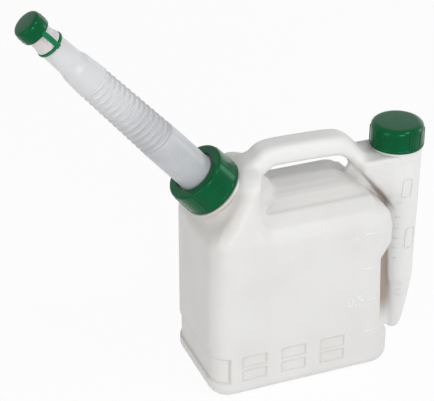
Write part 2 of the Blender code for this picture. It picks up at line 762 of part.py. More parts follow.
def make_gasket():
    inner, outer = NECK_BORE + JOINT_GAP, NECK_OUTER + JOINT_GAP
    high = GASKET_LOW + GASKET_THICKNESS
    profile = [(inner, high), (outer, high), (outer, GASKET_LOW), (inner, GASKET_LOW)]
    gasket = turned("spout_gasket", profile, ROUND_STEPS, True, parts, on_neck())
    return finish_piece(gasket, plastic("seal_rubber", SEAL_GREY, 0.6))


def make_spout_base():
    top = BELLOWS_START - JOINT_GAP
    flange = NECK_OUTER + JOINT_GAP
    bore = SPOUT_RADIUS - SPOUT_WALL
    skirt = NECK_BORE - SWIVEL_CLEARANCE
    fillet = COLLAR_HOLE_CLEARANCE / 2
    low = SPOUT_FLANGE_LOW - SPOUT_SKIRT_LENGTH
    end = BELLOWS_START_RADIUS - RIB_DEPTH / 2
    profile = [
        (end, top), (SPOUT_RADIUS, SPOUT_FLANGE_HIGH + fillet), (SPOUT_RADIUS + fillet, SPOUT_FLANGE_HIGH),
        (flange, SPOUT_FLANGE_HIGH), (flange, SPOUT_FLANGE_LOW), (skirt, SPOUT_FLANGE_LOW), (skirt, low),
        (skirt - SPOUT_WALL, low), (skirt - SPOUT_WALL, SPOUT_FLANGE_LOW), (bore, SPOUT_FLANGE_HIGH),
        (end - SPOUT_WALL, top),
    ]
    base = turned("spout_base", profile, ROUND_STEPS, True, parts, on_neck())
    return finish_piece(base, plastic("translucent_spout", SPOUT_GREY, 0.30))


def bellows_radius(station):
    share = (station - BELLOWS_START) / BELLOWS_LENGTH
    return BELLOWS_START_RADIUS + (BELLOWS_END_RADIUS - BELLOWS_START_RADIUS) * share


def make_bellows():
    pitch = BELLOWS_LENGTH / BELLOWS_RIBS
    outer = []
    for k in range(BELLOWS_RIBS):
        low = BELLOWS_START + k * pitch
        crest, valley = low + pitch * RIB_CREST_share, low + pitch * RIB_VALLEY_share
        outer.append((bellows_radius(valley) - RIB_DEPTH, valley))
        outer.append((bellows_radius(crest), crest))
    high = BELLOWS_END - JOINT_GAP
    bore_low = bellows_radius(BELLOWS_START) - RIB_DEPTH - BELLOWS_WALL
    bore_high = bellows_radius(BELLOWS_END) - RIB_DEPTH - BELLOWS_WALL
    end = (bellows_radius(BELLOWS_END) - RIB_DEPTH, high)
    outer[0] = (outer[0][0], BELLOWS_START)
    profile = [end] + outer[::-1] + [(bore_low, BELLOWS_START), (bore_high, high)]
    bellows = turned("spout_bellows", profile, SMALL_STEPS, True, parts, on_neck(BEND_STATION), BEND_STATION)
    return finish_piece(bellows, plastic("translucent_bellows", SPOUT_GREY, 0.30))


def make_nozzle():
    start = BELLOWS_END
    narrow = NOZZLE_STEP + NOZZLE_STEP_LENGTH
    groove_low = RING_STATION - RING_THICKNESS / 2 - JOINT_GAP
    groove_high = RING_STATION + RING_THICKNESS / 2 + JOINT_GAP
    bead = groove_high + RING_THICKNESS
    shoulder = SPOUT_CAP_START - JOINT_GAP * 3
    bore_start = NOZZLE_START_RADIUS - SPOUT_WALL
    bore_end = RING_GROOVE_RADIUS - SPOUT_WALL
    profile = [
        (TIP_RADIUS, TIP_END), (TIP_RADIUS, shoulder), (NOZZLE_NECK_RADIUS, shoulder),
        (NOZZLE_NECK_RADIUS, bead + RING_THICKNESS * 2), (BEAD_RADIUS, bead), (BEAD_RADIUS, groove_high),
        (RING_GROOVE_RADIUS, groove_high), (RING_GROOVE_RADIUS, groove_low),
        (NOZZLE_END_RADIUS, groove_low), (NOZZLE_NARROW_RADIUS, narrow),
        (NOZZLE_STEP_RADIUS, NOZZLE_STEP), (NOZZLE_START_RADIUS, start),
        (bore_start, start), (NOZZLE_STEP_RADIUS - SPOUT_WALL, NOZZLE_STEP - NOZZLE_STEP_LENGTH),
        (bore_end, narrow), (bore_end, shoulder - SPOUT_WALL * 2),
        (TIP_BORE, shoulder), (TIP_BORE, TIP_END)]
    nozzle = turned("spout_nozzle", profile, SMALL_STEPS, True, parts, on_neck(BEND_STATION), BEND_STATION)
    thread = guide("tip_thread", thread_mesh(
        "tip_thread", TIP_RADIUS, TIP_THREAD_DEPTH, TIP_PITCH, SHORT_TURNS,
        SPOUT_CAP_START + TIP_THREAD_START, SMALL_STEPS), on_neck())
    boolean(nozzle, thread, "UNION")
    return finish_piece(nozzle, plastic("translucent_nozzle", SPOUT_GREY, 0.30))


def make_spout_cap():
    top, low = SPOUT_CAP_TOP, SPOUT_CAP_START
    body = SPOUT_CAP_RADIUS - GRIP_DEPTH / 2
    rim = body - SPOUT_CAP_TAPER
    profile = [(0, top)]
    edge = top - SPOUT_CAP_ROUNDING
    inside = top - SPOUT_CAP_WALL
    profile += arc(rim - SPOUT_CAP_ROUNDING, edge, SPOUT_CAP_ROUNDING, 90, 0, SMALL_CORNER_STEPS)
    profile += [(body, low), (SPOUT_CAP_BORE, low), (SPOUT_CAP_BORE, inside), (0, inside)]
    cap = turned("spout_cap", profile, SMALL_STEPS, False, parts, on_neck())
    thread = guide("spout_cap_thread", thread_mesh(
        "spout_cap_thread", SPOUT_CAP_BORE, TIP_THREAD_DEPTH, TIP_PITCH, SHORT_TURNS,
        low + TIP_THREAD_START, SMALL_STEPS, True), on_neck())
    grips = guide("spout_cap_grips", ribs_mesh(
        "spout_cap_grips", SPOUT_CAP_GRIPS, body, SPOUT_CAP_GRIP_WIDTH, GRIP_DEPTH / 2, low + GRIP_DEPTH,
        edge - SPOUT_CAP_ROUNDING / 2), on_neck())
    boolean(cap, thread, "UNION")
    boolean(cap, grips, "UNION")
    return finish_piece(cap, plastic("green_spout_cap", GREEN, 0.24))


def make_spout_cap_liner():
    radius = SPOUT_CAP_BORE - SWIVEL_CLEARANCE
    profile = [(0, TIP_LINER_HIGH), (radius, TIP_LINER_HIGH), (radius, TIP_LINER_LOW), (0, TIP_LINER_LOW)]
    liner = turned("spout_cap_liner", profile, SMALL_STEPS, False, parts, on_neck())
    return finish_piece(liner, plastic("liner_foam_small", LINER_WHITE, 0.7))


def make_tether_ring():
    low, high = RING_STATION - RING_THICKNESS / 2, RING_STATION + RING_THICKNESS / 2
    inner = RING_GROOVE_RADIUS + SWIVEL_CLEARANCE / 2
    profile = [(inner, high), (RING_RADIUS, high), (RING_RADIUS, low), (inner, low)]
    ring = turned("tether_ring", profile, SMALL_STEPS, True, parts, on_neck())
    block = guide("strap_block", box_mesh(
        "strap_block", (BEAD_RADIUS + JOINT_GAP, -STRAP_WIDTH / 2, low),
        (RING_RADIUS + STRAP_THICKNESS, STRAP_WIDTH / 2, low + STRAP_BLOCK)),
        on_neck() @ Matrix.Rotation(STRAP_ANGLE, 4, "Z"))
    boolean(ring, block, "UNION")
    return finish_piece(ring, plastic("green_ring", GREEN, 0.28))


def make_tether_strap():
    low = RING_STATION - RING_THICKNESS / 2 + STRAP_BLOCK + JOINT_GAP
    high = SPOUT_CAP_START - JOINT_GAP
    outer = RING_RADIUS + STRAP_THICKNESS
    half = STRAP_WIDTH / 2
    rings = []
    for k in range(STRAP_STEPS + 1):
        share = k / STRAP_STEPS
        z = low + (high - low) * share
        bulge = GRIP_DEPTH * math.sin(math.pi * share)
        reach = outer + (SPOUT_CAP_RADIUS - outer) * share + bulge
        near = reach - STRAP_THICKNESS
        corners = ((near, -half), (reach, -half), (reach, half), (near, half))
        rings.append([Vector((x, y, z)) for x, y in corners])
    strap = new_object("tether_strap", loft("tether_strap", rings), parts,
                       on_neck() @ Matrix.Rotation(STRAP_ANGLE, 4, "Z"))
    return finish_piece(strap, plastic("green_strap", GREEN, 0.28))


def make_measuring_cap():
    top, low = MEASURE_CAP_TOP, MEASURE_CAP_LOW
    body = MEASURE_CAP_RADIUS - GRIP_DEPTH
    profile = [(0, top)]
    edge = top - MEASURE_CAP_ROUNDING
    profile += arc(body - MEASURE_CAP_ROUNDING, edge, MEASURE_CAP_ROUNDING, 90, 0, CORNER_STEPS)
    profile += [(body, low), (MEASURE_CAP_BORE, low), (MEASURE_CAP_BORE, MEASURE_CAP_INSIDE),
                (0, MEASURE_CAP_INSIDE)]
    cap = turned("measuring_cap", profile, ROUND_STEPS, False, parts, on_tube(HEAD_TOP), HEAD_TOP)
    thread = guide("measuring_cap_thread", thread_mesh(
        "measuring_cap_thread", MEASURE_CAP_BORE, THREAD_DEPTH, MEASURE_PITCH, SHORT_TURNS,
        MEASURE_FLANGE_HEIGHT + MEASURE_PITCH, ROUND_STEPS, True), on_tube(HEAD_TOP))
    grips = guide("measuring_cap_grips", ribs_mesh(
        "measuring_cap_grips", MEASURE_CAP_GRIPS, body, MEASURE_GRIP_WIDTH, GRIP_DEPTH,
        low - HEAD_TOP + GRIP_DEPTH, edge - HEAD_TOP), on_tube(HEAD_TOP))
    boolean(cap, thread, "UNION")
    boolean(cap, grips, "UNION")
    return finish_piece(cap, plastic("green_measuring_cap", GREEN, 0.24))


def make_measuring_cap_liner():
    radius = MEASURE_CAP_BORE - SWIVEL_CLEARANCE
    profile = [(0, MEASURE_LINER_HIGH), (radius, MEASURE_LINER_HIGH), (radius, MEASURE_LINER_LOW),
               (0, MEASURE_LINER_LOW)]
    liner = turned("measuring_cap_liner", profile, ROUND_STEPS, False, parts, on_tube(HEAD_TOP), HEAD_TOP)
    return finish_piece(liner, plastic("liner_foam", LINER_WHITE, 0.7))


clear_scene()
parts = new_collection("fuel_mixing_bottle")
construction = new_collection("construction")
make_tank()
make_collar()
make_gasket()
make_spout_base()
make_bellows()
make_nozzle()
make_spout_cap()
make_spout_cap_liner()
make_tether_ring()
make_tether_strap()
make_measuring_cap()
make_measuring_cap_liner()
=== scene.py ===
"""Looks of a one-litre fuel mixing bottle: blow-moulded tank, green closures, pouring spout."""

import math

import bmesh
import bpy
import numpy as np
from mathutils import Matrix, Vector
from mathutils.bvhtree import BVHTree


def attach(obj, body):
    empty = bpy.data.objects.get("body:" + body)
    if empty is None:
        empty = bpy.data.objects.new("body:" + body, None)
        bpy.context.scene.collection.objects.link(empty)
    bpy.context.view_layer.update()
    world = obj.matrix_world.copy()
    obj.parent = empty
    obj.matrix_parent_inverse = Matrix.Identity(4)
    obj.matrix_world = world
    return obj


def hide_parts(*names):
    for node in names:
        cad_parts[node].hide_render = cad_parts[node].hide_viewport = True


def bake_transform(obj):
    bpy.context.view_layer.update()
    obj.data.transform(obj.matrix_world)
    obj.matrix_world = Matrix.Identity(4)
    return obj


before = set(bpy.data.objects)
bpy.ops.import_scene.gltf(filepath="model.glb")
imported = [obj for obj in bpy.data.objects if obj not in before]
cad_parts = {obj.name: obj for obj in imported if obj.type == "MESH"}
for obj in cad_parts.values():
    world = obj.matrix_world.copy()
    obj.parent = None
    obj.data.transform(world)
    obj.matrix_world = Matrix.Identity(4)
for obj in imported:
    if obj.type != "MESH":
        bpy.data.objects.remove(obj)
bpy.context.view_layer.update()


# Studio
# A white sweep of paper under and behind the bottle, in the soft light of five lamps. The high
# one draws the bright line on each rounded edge; weak ones stand at the right and behind.
class Flow:
    """An output in a tree of nodes: sums and products of it add Math nodes."""

    def __init__(self, tree, output):
        self.tree = tree
        self.output = output

    def add(self, kind, inputs=(), output=0, **settings):
        """Any other node: its settings first, then the values or links of its inputs."""
        node = self.tree.nodes.new(kind)
        for name, value in settings.items():
            setattr(node, name, value)
        for key, value in dict(inputs).items():
            if isinstance(value, Flow):
                self.tree.links.new(value.output, node.inputs[key])
            else:
                node.inputs[key].default_value = value
        return Flow(self.tree, node.outputs[output])

    def math(self, operation, *others):
        return self.add("ShaderNodeMath", enumerate((self, *others)), operation=operation)

    def __add__(self, other):
        return self.math("ADD", other)

    def __sub__(self, other):
        return self.math("SUBTRACT", other)

    def __rsub__(self, other):
        return self.add("ShaderNodeMath", ((0, other), (1, self)), operation="SUBTRACT")

    def __mul__(self, other):
        return self.math("MULTIPLY", other)

    def __truediv__(self, other):
        return self.math("DIVIDE", other)

    __radd__ = __add__
    __rmul__ = __mul__

    def rise(self, start, end):
        """0 before start, 1 after end and a soft step between them."""
        limits = ((0, self), (1, start), (2, end))
        return self.add("ShaderNodeMapRange", limits, interpolation_type="SMOOTHSTEP")

    def fall(self, start, end):
        """1 before start, 0 after end and a soft step between them."""
        return 1 - self.rise(start, end)

    def hill(self, middle, half_width, edge):
        """1 near a middle value and 0 away from it."""
        return (self - middle).math("ABSOLUTE").fall(half_width, half_width + edge)

    def blend(self, low, high):
        """A colour between two, by this value."""
        return self.add("ShaderNodeMix", ((0, self), (6, low), (7, high)), 2, data_type="RGBA")

    def noise(self, scale, detail=2.0):
        return self.add("ShaderNodeTexNoise", (("Vector", self), ("Scale", scale), ("Detail", detail)))

    def stretched(self, *scale):
        return self.add("ShaderNodeMapping", (("Vector", self), ("Scale", scale)))

    def bump(self, strength, distance):
        """The normal of a surface that this value raises."""
        heights = (("Height", self), ("Strength", strength), ("Distance", distance))
        return self.add("ShaderNodeBump", heights)

    def parts(self):
        """The X, Y and Z of a vector."""
        split = self.add("ShaderNodeSeparateXYZ", ((0, self),)).output.node
        return [Flow(self.tree, output) for output in split.outputs]


def new_material(name):
    """A material, its shader and a Flow for its object coordinates."""
    material = bpy.data.materials.new(name)
    material.use_nodes = True
    tree = material.node_tree
    shader = tree.nodes["Principled BSDF"]
    place = tree.nodes.new("ShaderNodeTexCoord")
    return material, shader, Flow(tree, place.outputs["Object"])


def feed(shader, **values):
    """Sets or links the shader's inputs; an underscore in a name stands for a space."""
    for name, value in values.items():
        socket = shader.inputs[name.replace("_", " ")]
        if isinstance(value, Flow):
            value.tree.links.new(value.output, socket)
        else:
            socket.default_value = value


def seen_rays(tree):
    """1 for the rays of the camera, of gloss and of clear things, and 0 for those of light."""
    rays = tree.nodes.new("ShaderNodeLightPath")
    seen = Flow(tree, rays.outputs["Is Camera Ray"])
    for other in ("Is Glossy Ray", "Is Transmission Ray"):
        seen = seen.math("MAXIMUM", Flow(tree, rays.outputs[other]))
    return seen


PAPER_SIZE = 6.0
PAPER_BACK = 2.4
PAPER_BEND = 0.7
PAPER_RISE = 3.0
PAPER_STEPS = 12
PAPER_WHITE = (0.90, 0.90, 0.90, 1)
PAPER_FIBRE = (0.88, 0.88, 0.88, 1)
PAPER_GLOW_share = 0.94
ROOM_LIGHT_share = 0.36
LAMP_AIM = (0.0, 0.0, 0.10)
LAMPS = (
    ("front_lamp", (-0.10, -1.35, 0.62), (0.5, 0.5), 6.6, (1.0, 1.0, 1.0)),
    ("high_lamp", (0.50, -0.72, 1.20), (0.3, 0.3), 4.2, (1.0, 1.0, 1.0)),
    ("right_lamp", (1.40, -0.15, 0.25), (0.4, 0.8), 2.6, (1.0, 1.0, 1.0)),
    ("back_lamp", (1.25, 0.95, 0.45), (0.9, 0.9), 1.6, (1.0, 1.0, 1.0)),
    ("left_lamp", (-1.30, -0.50, 0.50), (0.5, 1.0), 4.4, (1.0, 0.97, 0.94)),
)


def white_paper():
    """Paper that the camera, and gloss and clear things, see almost white, with its shadows."""
    material, shader, place = new_material("white_paper")
    paper = place.noise(400.0).blend(PAPER_WHITE, PAPER_FIBRE)
    feed(shader, Base_Color=paper, Roughness=1, Specular_IOR_Level=0)
    glow = place.add("ShaderNodeEmission", (("Strength", 1.0),))
    glowing = seen_rays(place.tree) * PAPER_GLOW_share
    lit = Flow(place.tree, shader.outputs[0])
    mixed = glowing.add("ShaderNodeMixShader", ((0, glowing), (1, lit), (2, glow)))
    place.tree.links.new(mixed.output, place.tree.nodes["Material Output"].inputs["Surface"])
    return material


def paper_sweep():
    flat_end = PAPER_BACK - PAPER_BEND
    outline = [(-PAPER_SIZE / 2, 0.0), (flat_end, 0.0)]
    for k in range(1, PAPER_STEPS + 1):
        angle = math.radians(90 * k / PAPER_STEPS)
        outline.append((flat_end + PAPER_BEND * math.sin(angle), PAPER_BEND * (1 - math.cos(angle))))
    outline.append((PAPER_BACK, PAPER_RISE))
    points = [Vector((x, y, z)) for y, z in outline for x in (-PAPER_SIZE / 2, PAPER_SIZE / 2)]
    faces = [(2 * k, 2 * k + 1, 2 * k + 3, 2 * k + 2) for k in range(len(outline) - 1)]
    mesh = bpy.data.meshes.new("paper_sweep")
    mesh.from_pydata(points, [], faces)
    mesh.shade_smooth()
    mesh.materials.append(white_paper())
    paper = bpy.data.objects.new("paper_sweep", mesh)
    bpy.context.scene.collection.objects.link(paper)


def soft_lamp(name, place, size, power, colour):
    data = bpy.data.lights.new(name, "AREA")
    data.shape = "RECTANGLE"
    data.size, data.size_y = size
    data.energy = power
    data.color = colour
    lamp = bpy.data.objects.new(name, data)
    lamp.location = place
    lamp.rotation_euler = (Vector(LAMP_AIM) - Vector(place)).to_track_quat("-Z", "Y").to_euler()
    bpy.context.scene.collection.objects.link(lamp)


def white_world(strength):
    """White where it is seen, and a soft even light elsewhere."""
    world = bpy.data.worlds.new("white_room")
    bpy.context.scene.world = world
    world.use_nodes = True
    seen = seen_rays(world.node_tree)
    shade = world.node_tree.nodes["Background"]
    feed(shade, Color=(1, 1, 1, 1), Strength=seen * (1 - strength) + strength)


# The camera stands where the photograph was taken from; the frame is 434 x 401 pixels
CAMERA_PLACE = (-0.3909, -0.8648, 0.6691)
CAMERA_BACK = (-0.3185, -0.8057, 0.4994)
CAMERA_LENS = 136.2
SENSOR_WIDTH = 36.0


def studio_camera():
    data = bpy.data.cameras.new("photo_camera")
    data.lens = CAMERA_LENS
    data.sensor_width = SENSOR_WIDTH
    data.sensor_fit = "HORIZONTAL"
    data.clip_start = 0.01
    camera = bpy.data.objects.new("photo_camera", data)
    camera.location = CAMERA_PLACE
    camera.rotation_euler = Vector(CAMERA_BACK).to_track_quat("Z", "Y").to_euler()
    bpy.context.scene.collection.objects.link(camera)
    bpy.context.scene.camera = camera


bpy.context.scene.view_settings.view_transform = "Standard"
studio_camera()
paper_sweep()
white_world(ROOM_LIGHT_share)
for lamp in LAMPS:
    soft_lamp(*lamp)


# Tank
# One blow-moulded shell of natural polyethylene: the tank, its finger ridge, the pillar that
# carries the slanted neck, the hollow handle, the measuring tube with its funnel head and the
# pinched web. Everything flows into the next with the soft fillets of a blown wall.
# Sizes are in millimetres, and MM turns them into metres
MM = 0.001
GRID_X = ((-69.0, 101.5, 1.02),)
GRID_Y = ((-43.0, -37.0, 0.8), (-37.0, 37.0, 1.1), (37.0, 43.2, 0.8))
GRID_Z = ((-3.0, 11.5, 1.1), (11.5, 34.0, 0.75), (34.0, 104.0, 2.0), (104.0, 172.0, 1.05))
HALF_LENGTH = 66.0
HALF_WIDTH = 39.45
CORNER_RADIUS = 14.5
BASE_FILLET = 9.0
SHOULDER_HEIGHT = 124.6
SHOULDER_FILLET = 6.0
SHOULDER_SLOPE = 0.66
SHOULDER_DROP = 4.0
SHOULDER_RIM = 14.0
RIDGE_EDGE = 3.5
RIDGE_FILLET = 2.6
PILLAR_EDGE = 4.0
PILLAR_FILLET = 3.6
NECK_CENTRE = Vector((-52.4, 0.0, 143.8))
NECK_TILT = math.radians(41.0)
NECK_BORE = 15.2
NECK_BORE_DEPTH = 28.0
CONE_FOOT = (-26.0, 29.3)
CONE_HEAD = (-3.8, 20.8)
CONE_TOP = -3.2
CONE_LEAN = 0.93
CONE_EDGE = 1.2
CONE_FILLET = 5.0
TUBE_X = 80.9
HEAD_TOP = 148.7
HEAD_EDGE = 2.0
HEAD_FILLET = 1.6
LOBE_FILLET = 2.4
MEASURE_BORE = 12.2
MEASURE_BORE_LOW = 134.0
HANDLE_WIDE = 10.0
HANDLE_ROUNDING = 5.8
HANDLE_FILLET = 4.5
WEB_HALF = 1.7
WEB_FILLET = 2.0
SWELL_DEPTH = 8.5
SWELL_LOW = 112.0
SWELL_RISE = 16.0
SWELL_EDGE = 7.0
BAR_WIDTH = 17.2
BAR_HEIGHT = 8.0
BAR_CORNER = 1.2
BAR_PITCH = 28.4
BAR_CENTRE = -8.8
BAR_LOW = 13.3
BAR_RISE = 11.0
BAND_MIDDLE = 22.8
BAND_HALF = 9.5
BAND_END = -55.0
RELIEF_DEPTH = 1.3
RELIEF_EDGE = 0.3
RECESS_X = 24.0
RECESS_HALVES = (18.0, 22.0)
RECESS_CORNER = 3.0
RECESS_DEPTH = 1.2
RECESS_EDGE = 0.4
RELAX_ROUNDS = 2
RELAX_share = 0.4
RELAX_BACK = 1.02


def rounded_box(x, y, half_x, half_y, radius):
    """Distance to a rounded rectangle about the origin."""
    across = np.abs(x) - (half_x - radius)
    deep = np.abs(y) - (half_y - radius)
    outside = np.hypot(np.maximum(across, 0), np.maximum(deep, 0))
    return np.minimum(np.maximum(across, deep), 0) + outside - radius


def joined(a, b, radius):
    """Both solids, with a fillet of that radius where they meet."""
    fillet = np.hypot(np.maximum(radius - a, 0), np.maximum(radius - b, 0))
    return np.maximum(radius, np.minimum(a, b)) - fillet


def shared(a, b, radius):
    """What both solids hold, with a rounded edge of that radius."""
    rounding = np.hypot(np.maximum(radius + a, 0), np.maximum(radius + b, 0))
    return np.minimum(-radius, np.maximum(a, b)) + rounding


def carved(a, b, radius):
    return shared(a, -b, radius)


def lofted(x, y, z, table):
    """A standing solid with sections (height, left, right, half width, rounding)."""
    heights, left, right, half, rounding = (np.array(column, float) for column in zip(*table))
    left, right, half, rounding = (np.interp(z, heights, values) for values in (left, right, half, rounding))
    side = rounded_box(x - (left + right) / 2, y, (right - left) / 2, half, rounding)
    return side, np.maximum(heights[0] - z, z - heights[-1])


def polygon(x, z, outline):
    """Distance in the X-Z plane to a closed outline of straight runs."""
    distance = np.full(np.broadcast(x, z).shape, np.inf)
    inside = np.zeros(distance.shape, bool)
    for (ax, az), (bx, bz) in zip(outline, outline[1:] + outline[:1]):
        run_x, run_z = bx - ax, bz - az
        share = np.clip(((x - ax) * run_x + (z - az) * run_z) / (run_x**2 + run_z**2), 0, 1)
        distance = np.minimum(distance, np.hypot(x - ax - share * run_x, z - az - share * run_z))
        crossed = (az > z) != (bz > z)
        inside ^= crossed & (x < ax + run_x * (z - az) / (run_z if run_z else 1))
    return np.where(inside, -distance, distance)


def bar_along(x, y, z, path):
    """A bent bar of rounded section in the X-Z plane through (x, z, half depth)."""
    best = np.full(np.broadcast(x, z).shape, np.inf)
    for (ax, az, thick_a), (bx, bz, thick_b) in zip(path, path[1:]):
        run_x, run_z = bx - ax, bz - az
        share = np.clip(((x - ax) * run_x + (z - az) * run_z) / (run_x**2 + run_z**2), 0, 1)
        away = np.hypot(x - ax - share * run_x, z - az - share * run_z)
        best = np.minimum(best, away - (thick_a + (thick_b - thick_a) * share))
    deep = best + HANDLE_ROUNDING
    wide = np.abs(y) - (HANDLE_WIDE - HANDLE_ROUNDING)
    outside = np.hypot(np.maximum(deep, 0), np.maximum(wide, 0))
    return np.minimum(np.maximum(deep, wide), 0) + outside - HANDLE_ROUNDING


def smooth_path(points, steps):
    """A curve through points, with steps between each two of them."""
    points = [np.array(p, float) for p in points]
    ends = [2 * points[0] - points[1]] + points + [2 * points[-1] - points[-2]]
    curve = []
    for k in range(1, len(ends) - 2):
        p0, p1, p2, p3 = ends[k - 1:k + 3]
        for s in range(steps):
            t = s / steps
            curve.append(0.5 * (2 * p1 + (p2 - p0) * t + (2 * p0 - 5 * p1 + 4 * p2 - p3) * t * t
                                + (3 * p1 - p0 - 3 * p2 + p3) * t**3))
    return [tuple(p) for p in curve + [points[-1]]]


PILLAR = (
    (100.0, -61.0, -25.0, 38.0, 6.0), (121.0, -60.0, -27.0, 38.4, 6.0), (128.0, -56.0, -28.5, 37.0, 8.0),
    (136.0, -50.5, -29.0, 34.0, 9.0), (145.0, -44.5, -28.0, 30.5, 9.0), (149.0, -42.0, -27.0, 28.5, 9.0),
    (152.5, -40.0, -26.0, 25.5, 8.0), (155.0, -38.2, -25.0, 21.5, 7.0), (157.0, -36.5, -24.5, 17.0, 6.0),
    (158.5, -35.0, -24.0, 12.0, 5.0),
)
RIDGE = (
    (100.0, -44.0, 56.0, 24.0, 9.0), (126.0, -44.0, 53.5, 22.8, 9.0), (132.8, -44.0, 48.0, 21.2, 8.0),
    (136.8, -44.0, 42.0, 19.4, 6.0), (138.8, -44.0, 38.0, 16.8, 5.0), (139.6, -44.0, 35.3, 13.2, 4.0),
)
TUBE = (
    (1.5, 82.3, 88.4, 3.0, 3.0), (3.0, 81.7, 90.3, 4.3, 4.3), (8.1, 81.5, 92.3, 5.4, 5.4),
    (23.9, 81.0, 95.3, 7.1, 7.1), (41.3, 79.5, 97.7, 9.1, 9.1), (46.0, 78.0, 98.1, 10.1, 10.1),
    (74.7, 76.3, 98.1, 11.1, 11.1), (104.3, 74.1, 98.1, 12.4, 11.6), (127.6, 72.5, 98.1, 13.6, 12.6),
    (144.0, 70.5, 98.1, 14.6, 13.4), (148.7, 69.0, 97.9, 15.0, 13.8),
)
LOBE = (
    (104.3, 77.0, 83.0, 6.0, 3.0), (112.8, 71.5, 84.0, 11.0, 5.0), (120.0, 65.4, 84.0, 14.2, 6.5),
    (127.6, 59.0, 82.5, 15.5, 6.5), (140.2, 48.8, 80.5, 16.2, 6.5), (146.0, 48.0, 80.0, 16.3, 6.5),
    (148.7, 48.6, 80.0, 15.9, 6.5),
)
HANDLE = (
    (-38.6, 141.6, 7.3), (-27.6, 151.3, 7.3), (-20.0, 157.3, 7.3), (-13.0, 161.2, 7.3), (8.0, 161.3, 7.3),
    (31.0, 160.4, 7.2), (38.7, 158.4, 6.7), (45.0, 153.5, 5.9), (52.0, 146.4, 5.5), (58.4, 138.4, 5.5),
)
WEB = [
    (52.0, 22.5), (58.8, 4.5), (87.3, 4.5), (87.3, 108.0), (65.2, 140.0), (51.4, 147.0), (48.9, 144.6),
    (45.0, 139.4), (40.5, 133.6), (29.2, 124.6),
]
SLOT = (
    (0.0, 0.0), (22.5, 0.0), (33.0, 5.4), (60.0, 6.4), (83.5, 7.2), (95.5, 0.0), (108.0, 0.0), (115.5, 1.8),
    (120.3, 4.8), (123.3, 8.5), (126.0, 12.0),
)


def tank_field(x, y, z):
    """How far each point lies outside the tank's wall, in millimetres."""
    slot = np.interp(z, *zip(*SLOT))
    end = HALF_LENGTH - slot
    walls = rounded_box(x + (HALF_LENGTH - end) / 2, y, (HALF_LENGTH + end) / 2, HALF_WIDTH, CORNER_RADIUS)
    body = shared(walls, -z, BASE_FILLET)
    rim = np.minimum(HALF_WIDTH - np.abs(y), HALF_LENGTH - np.abs(x))
    top = SHOULDER_HEIGHT - SHOULDER_DROP + SHOULDER_SLOPE * np.clip(rim, 0, SHOULDER_RIM)
    body = shared(body, z - top, SHOULDER_FILLET)
    side, ends = lofted(x, y, z, RIDGE)
    whole = joined(body, shared(side, ends, RIDGE_EDGE), RIDGE_FILLET)
    side, ends = lofted(x, y, z, PILLAR)
    whole = joined(whole, shared(side, ends, PILLAR_EDGE), PILLAR_FILLET)
    # The cone that carries the slanted neck
    px, pz = x - NECK_CENTRE.x, z - NECK_CENTRE.z
    along = pz * math.cos(NECK_TILT) - px * math.sin(NECK_TILT)
    radial = np.hypot(px * math.cos(NECK_TILT) + pz * math.sin(NECK_TILT), y)
    cone = (radial - np.interp(along, *zip(CONE_FOOT, CONE_HEAD))) * CONE_LEAN
    cone = shared(cone, np.maximum(along - CONE_TOP, CONE_FOOT[0] - along), CONE_EDGE)
    whole = joined(whole, cone, CONE_FILLET)
    side, ends = lofted(x, y, z, TUBE)
    head = shared(side, ends, HEAD_EDGE)
    side, ends = lofted(x, y, z, LOBE)
    head = joined(head, shared(side, ends, HEAD_EDGE), LOBE_FILLET)
    inside_web = polygon(x, z, WEB)
    swell = np.clip((z - SWELL_LOW) / SWELL_RISE, 0, 1) * np.clip(-inside_web / SWELL_EDGE, 0, 1)
    web = np.maximum(np.abs(y) - WEB_HALF - SWELL_DEPTH * swell, inside_web)
    whole = joined(whole, web, WEB_FILLET)
    whole = joined(whole, head, HEAD_FILLET)
    bar = bar_along(x, y, z, smooth_path(HANDLE, steps=4))
    whole = joined(whole, bar, HANDLE_FILLET)
    whole = np.maximum(whole, np.abs(y) - HALF_WIDTH)
    # Stacked bars on both faces, the band round the left end and the foot's recesses
    for column in (-1, 0, 1):
        for row in (0, 1):
            middle_x = BAR_CENTRE + column * BAR_PITCH
            middle_z = BAR_LOW + row * BAR_RISE + BAR_HEIGHT / 2
            plate = rounded_box(x - middle_x, z - middle_z, BAR_WIDTH / 2, BAR_HEIGHT / 2, BAR_CORNER)
            sunk = HALF_WIDTH - RELIEF_DEPTH - np.abs(y)
            whole = carved(whole, np.maximum(plate, sunk), RELIEF_EDGE)
    band = np.maximum(np.abs(z - BAND_MIDDLE) - BAND_HALF, x - BAND_END)
    whole = carved(whole, np.maximum(-(walls + RELIEF_DEPTH), band), RELIEF_EDGE)
    for side_x in (-RECESS_X, RECESS_X):
        recess = rounded_box(x - side_x, y, *RECESS_HALVES, RECESS_CORNER)
        whole = carved(whole, np.maximum(recess, z - RECESS_DEPTH), RECESS_EDGE)
    # Bores of the two necks
    whole = np.maximum(whole, -np.maximum(radial - NECK_BORE, -NECK_BORE_DEPTH - along))
    bore = np.maximum(np.hypot(x - TUBE_X, y) - MEASURE_BORE, MEASURE_BORE_LOW - z)
    return np.maximum(whole, -bore)


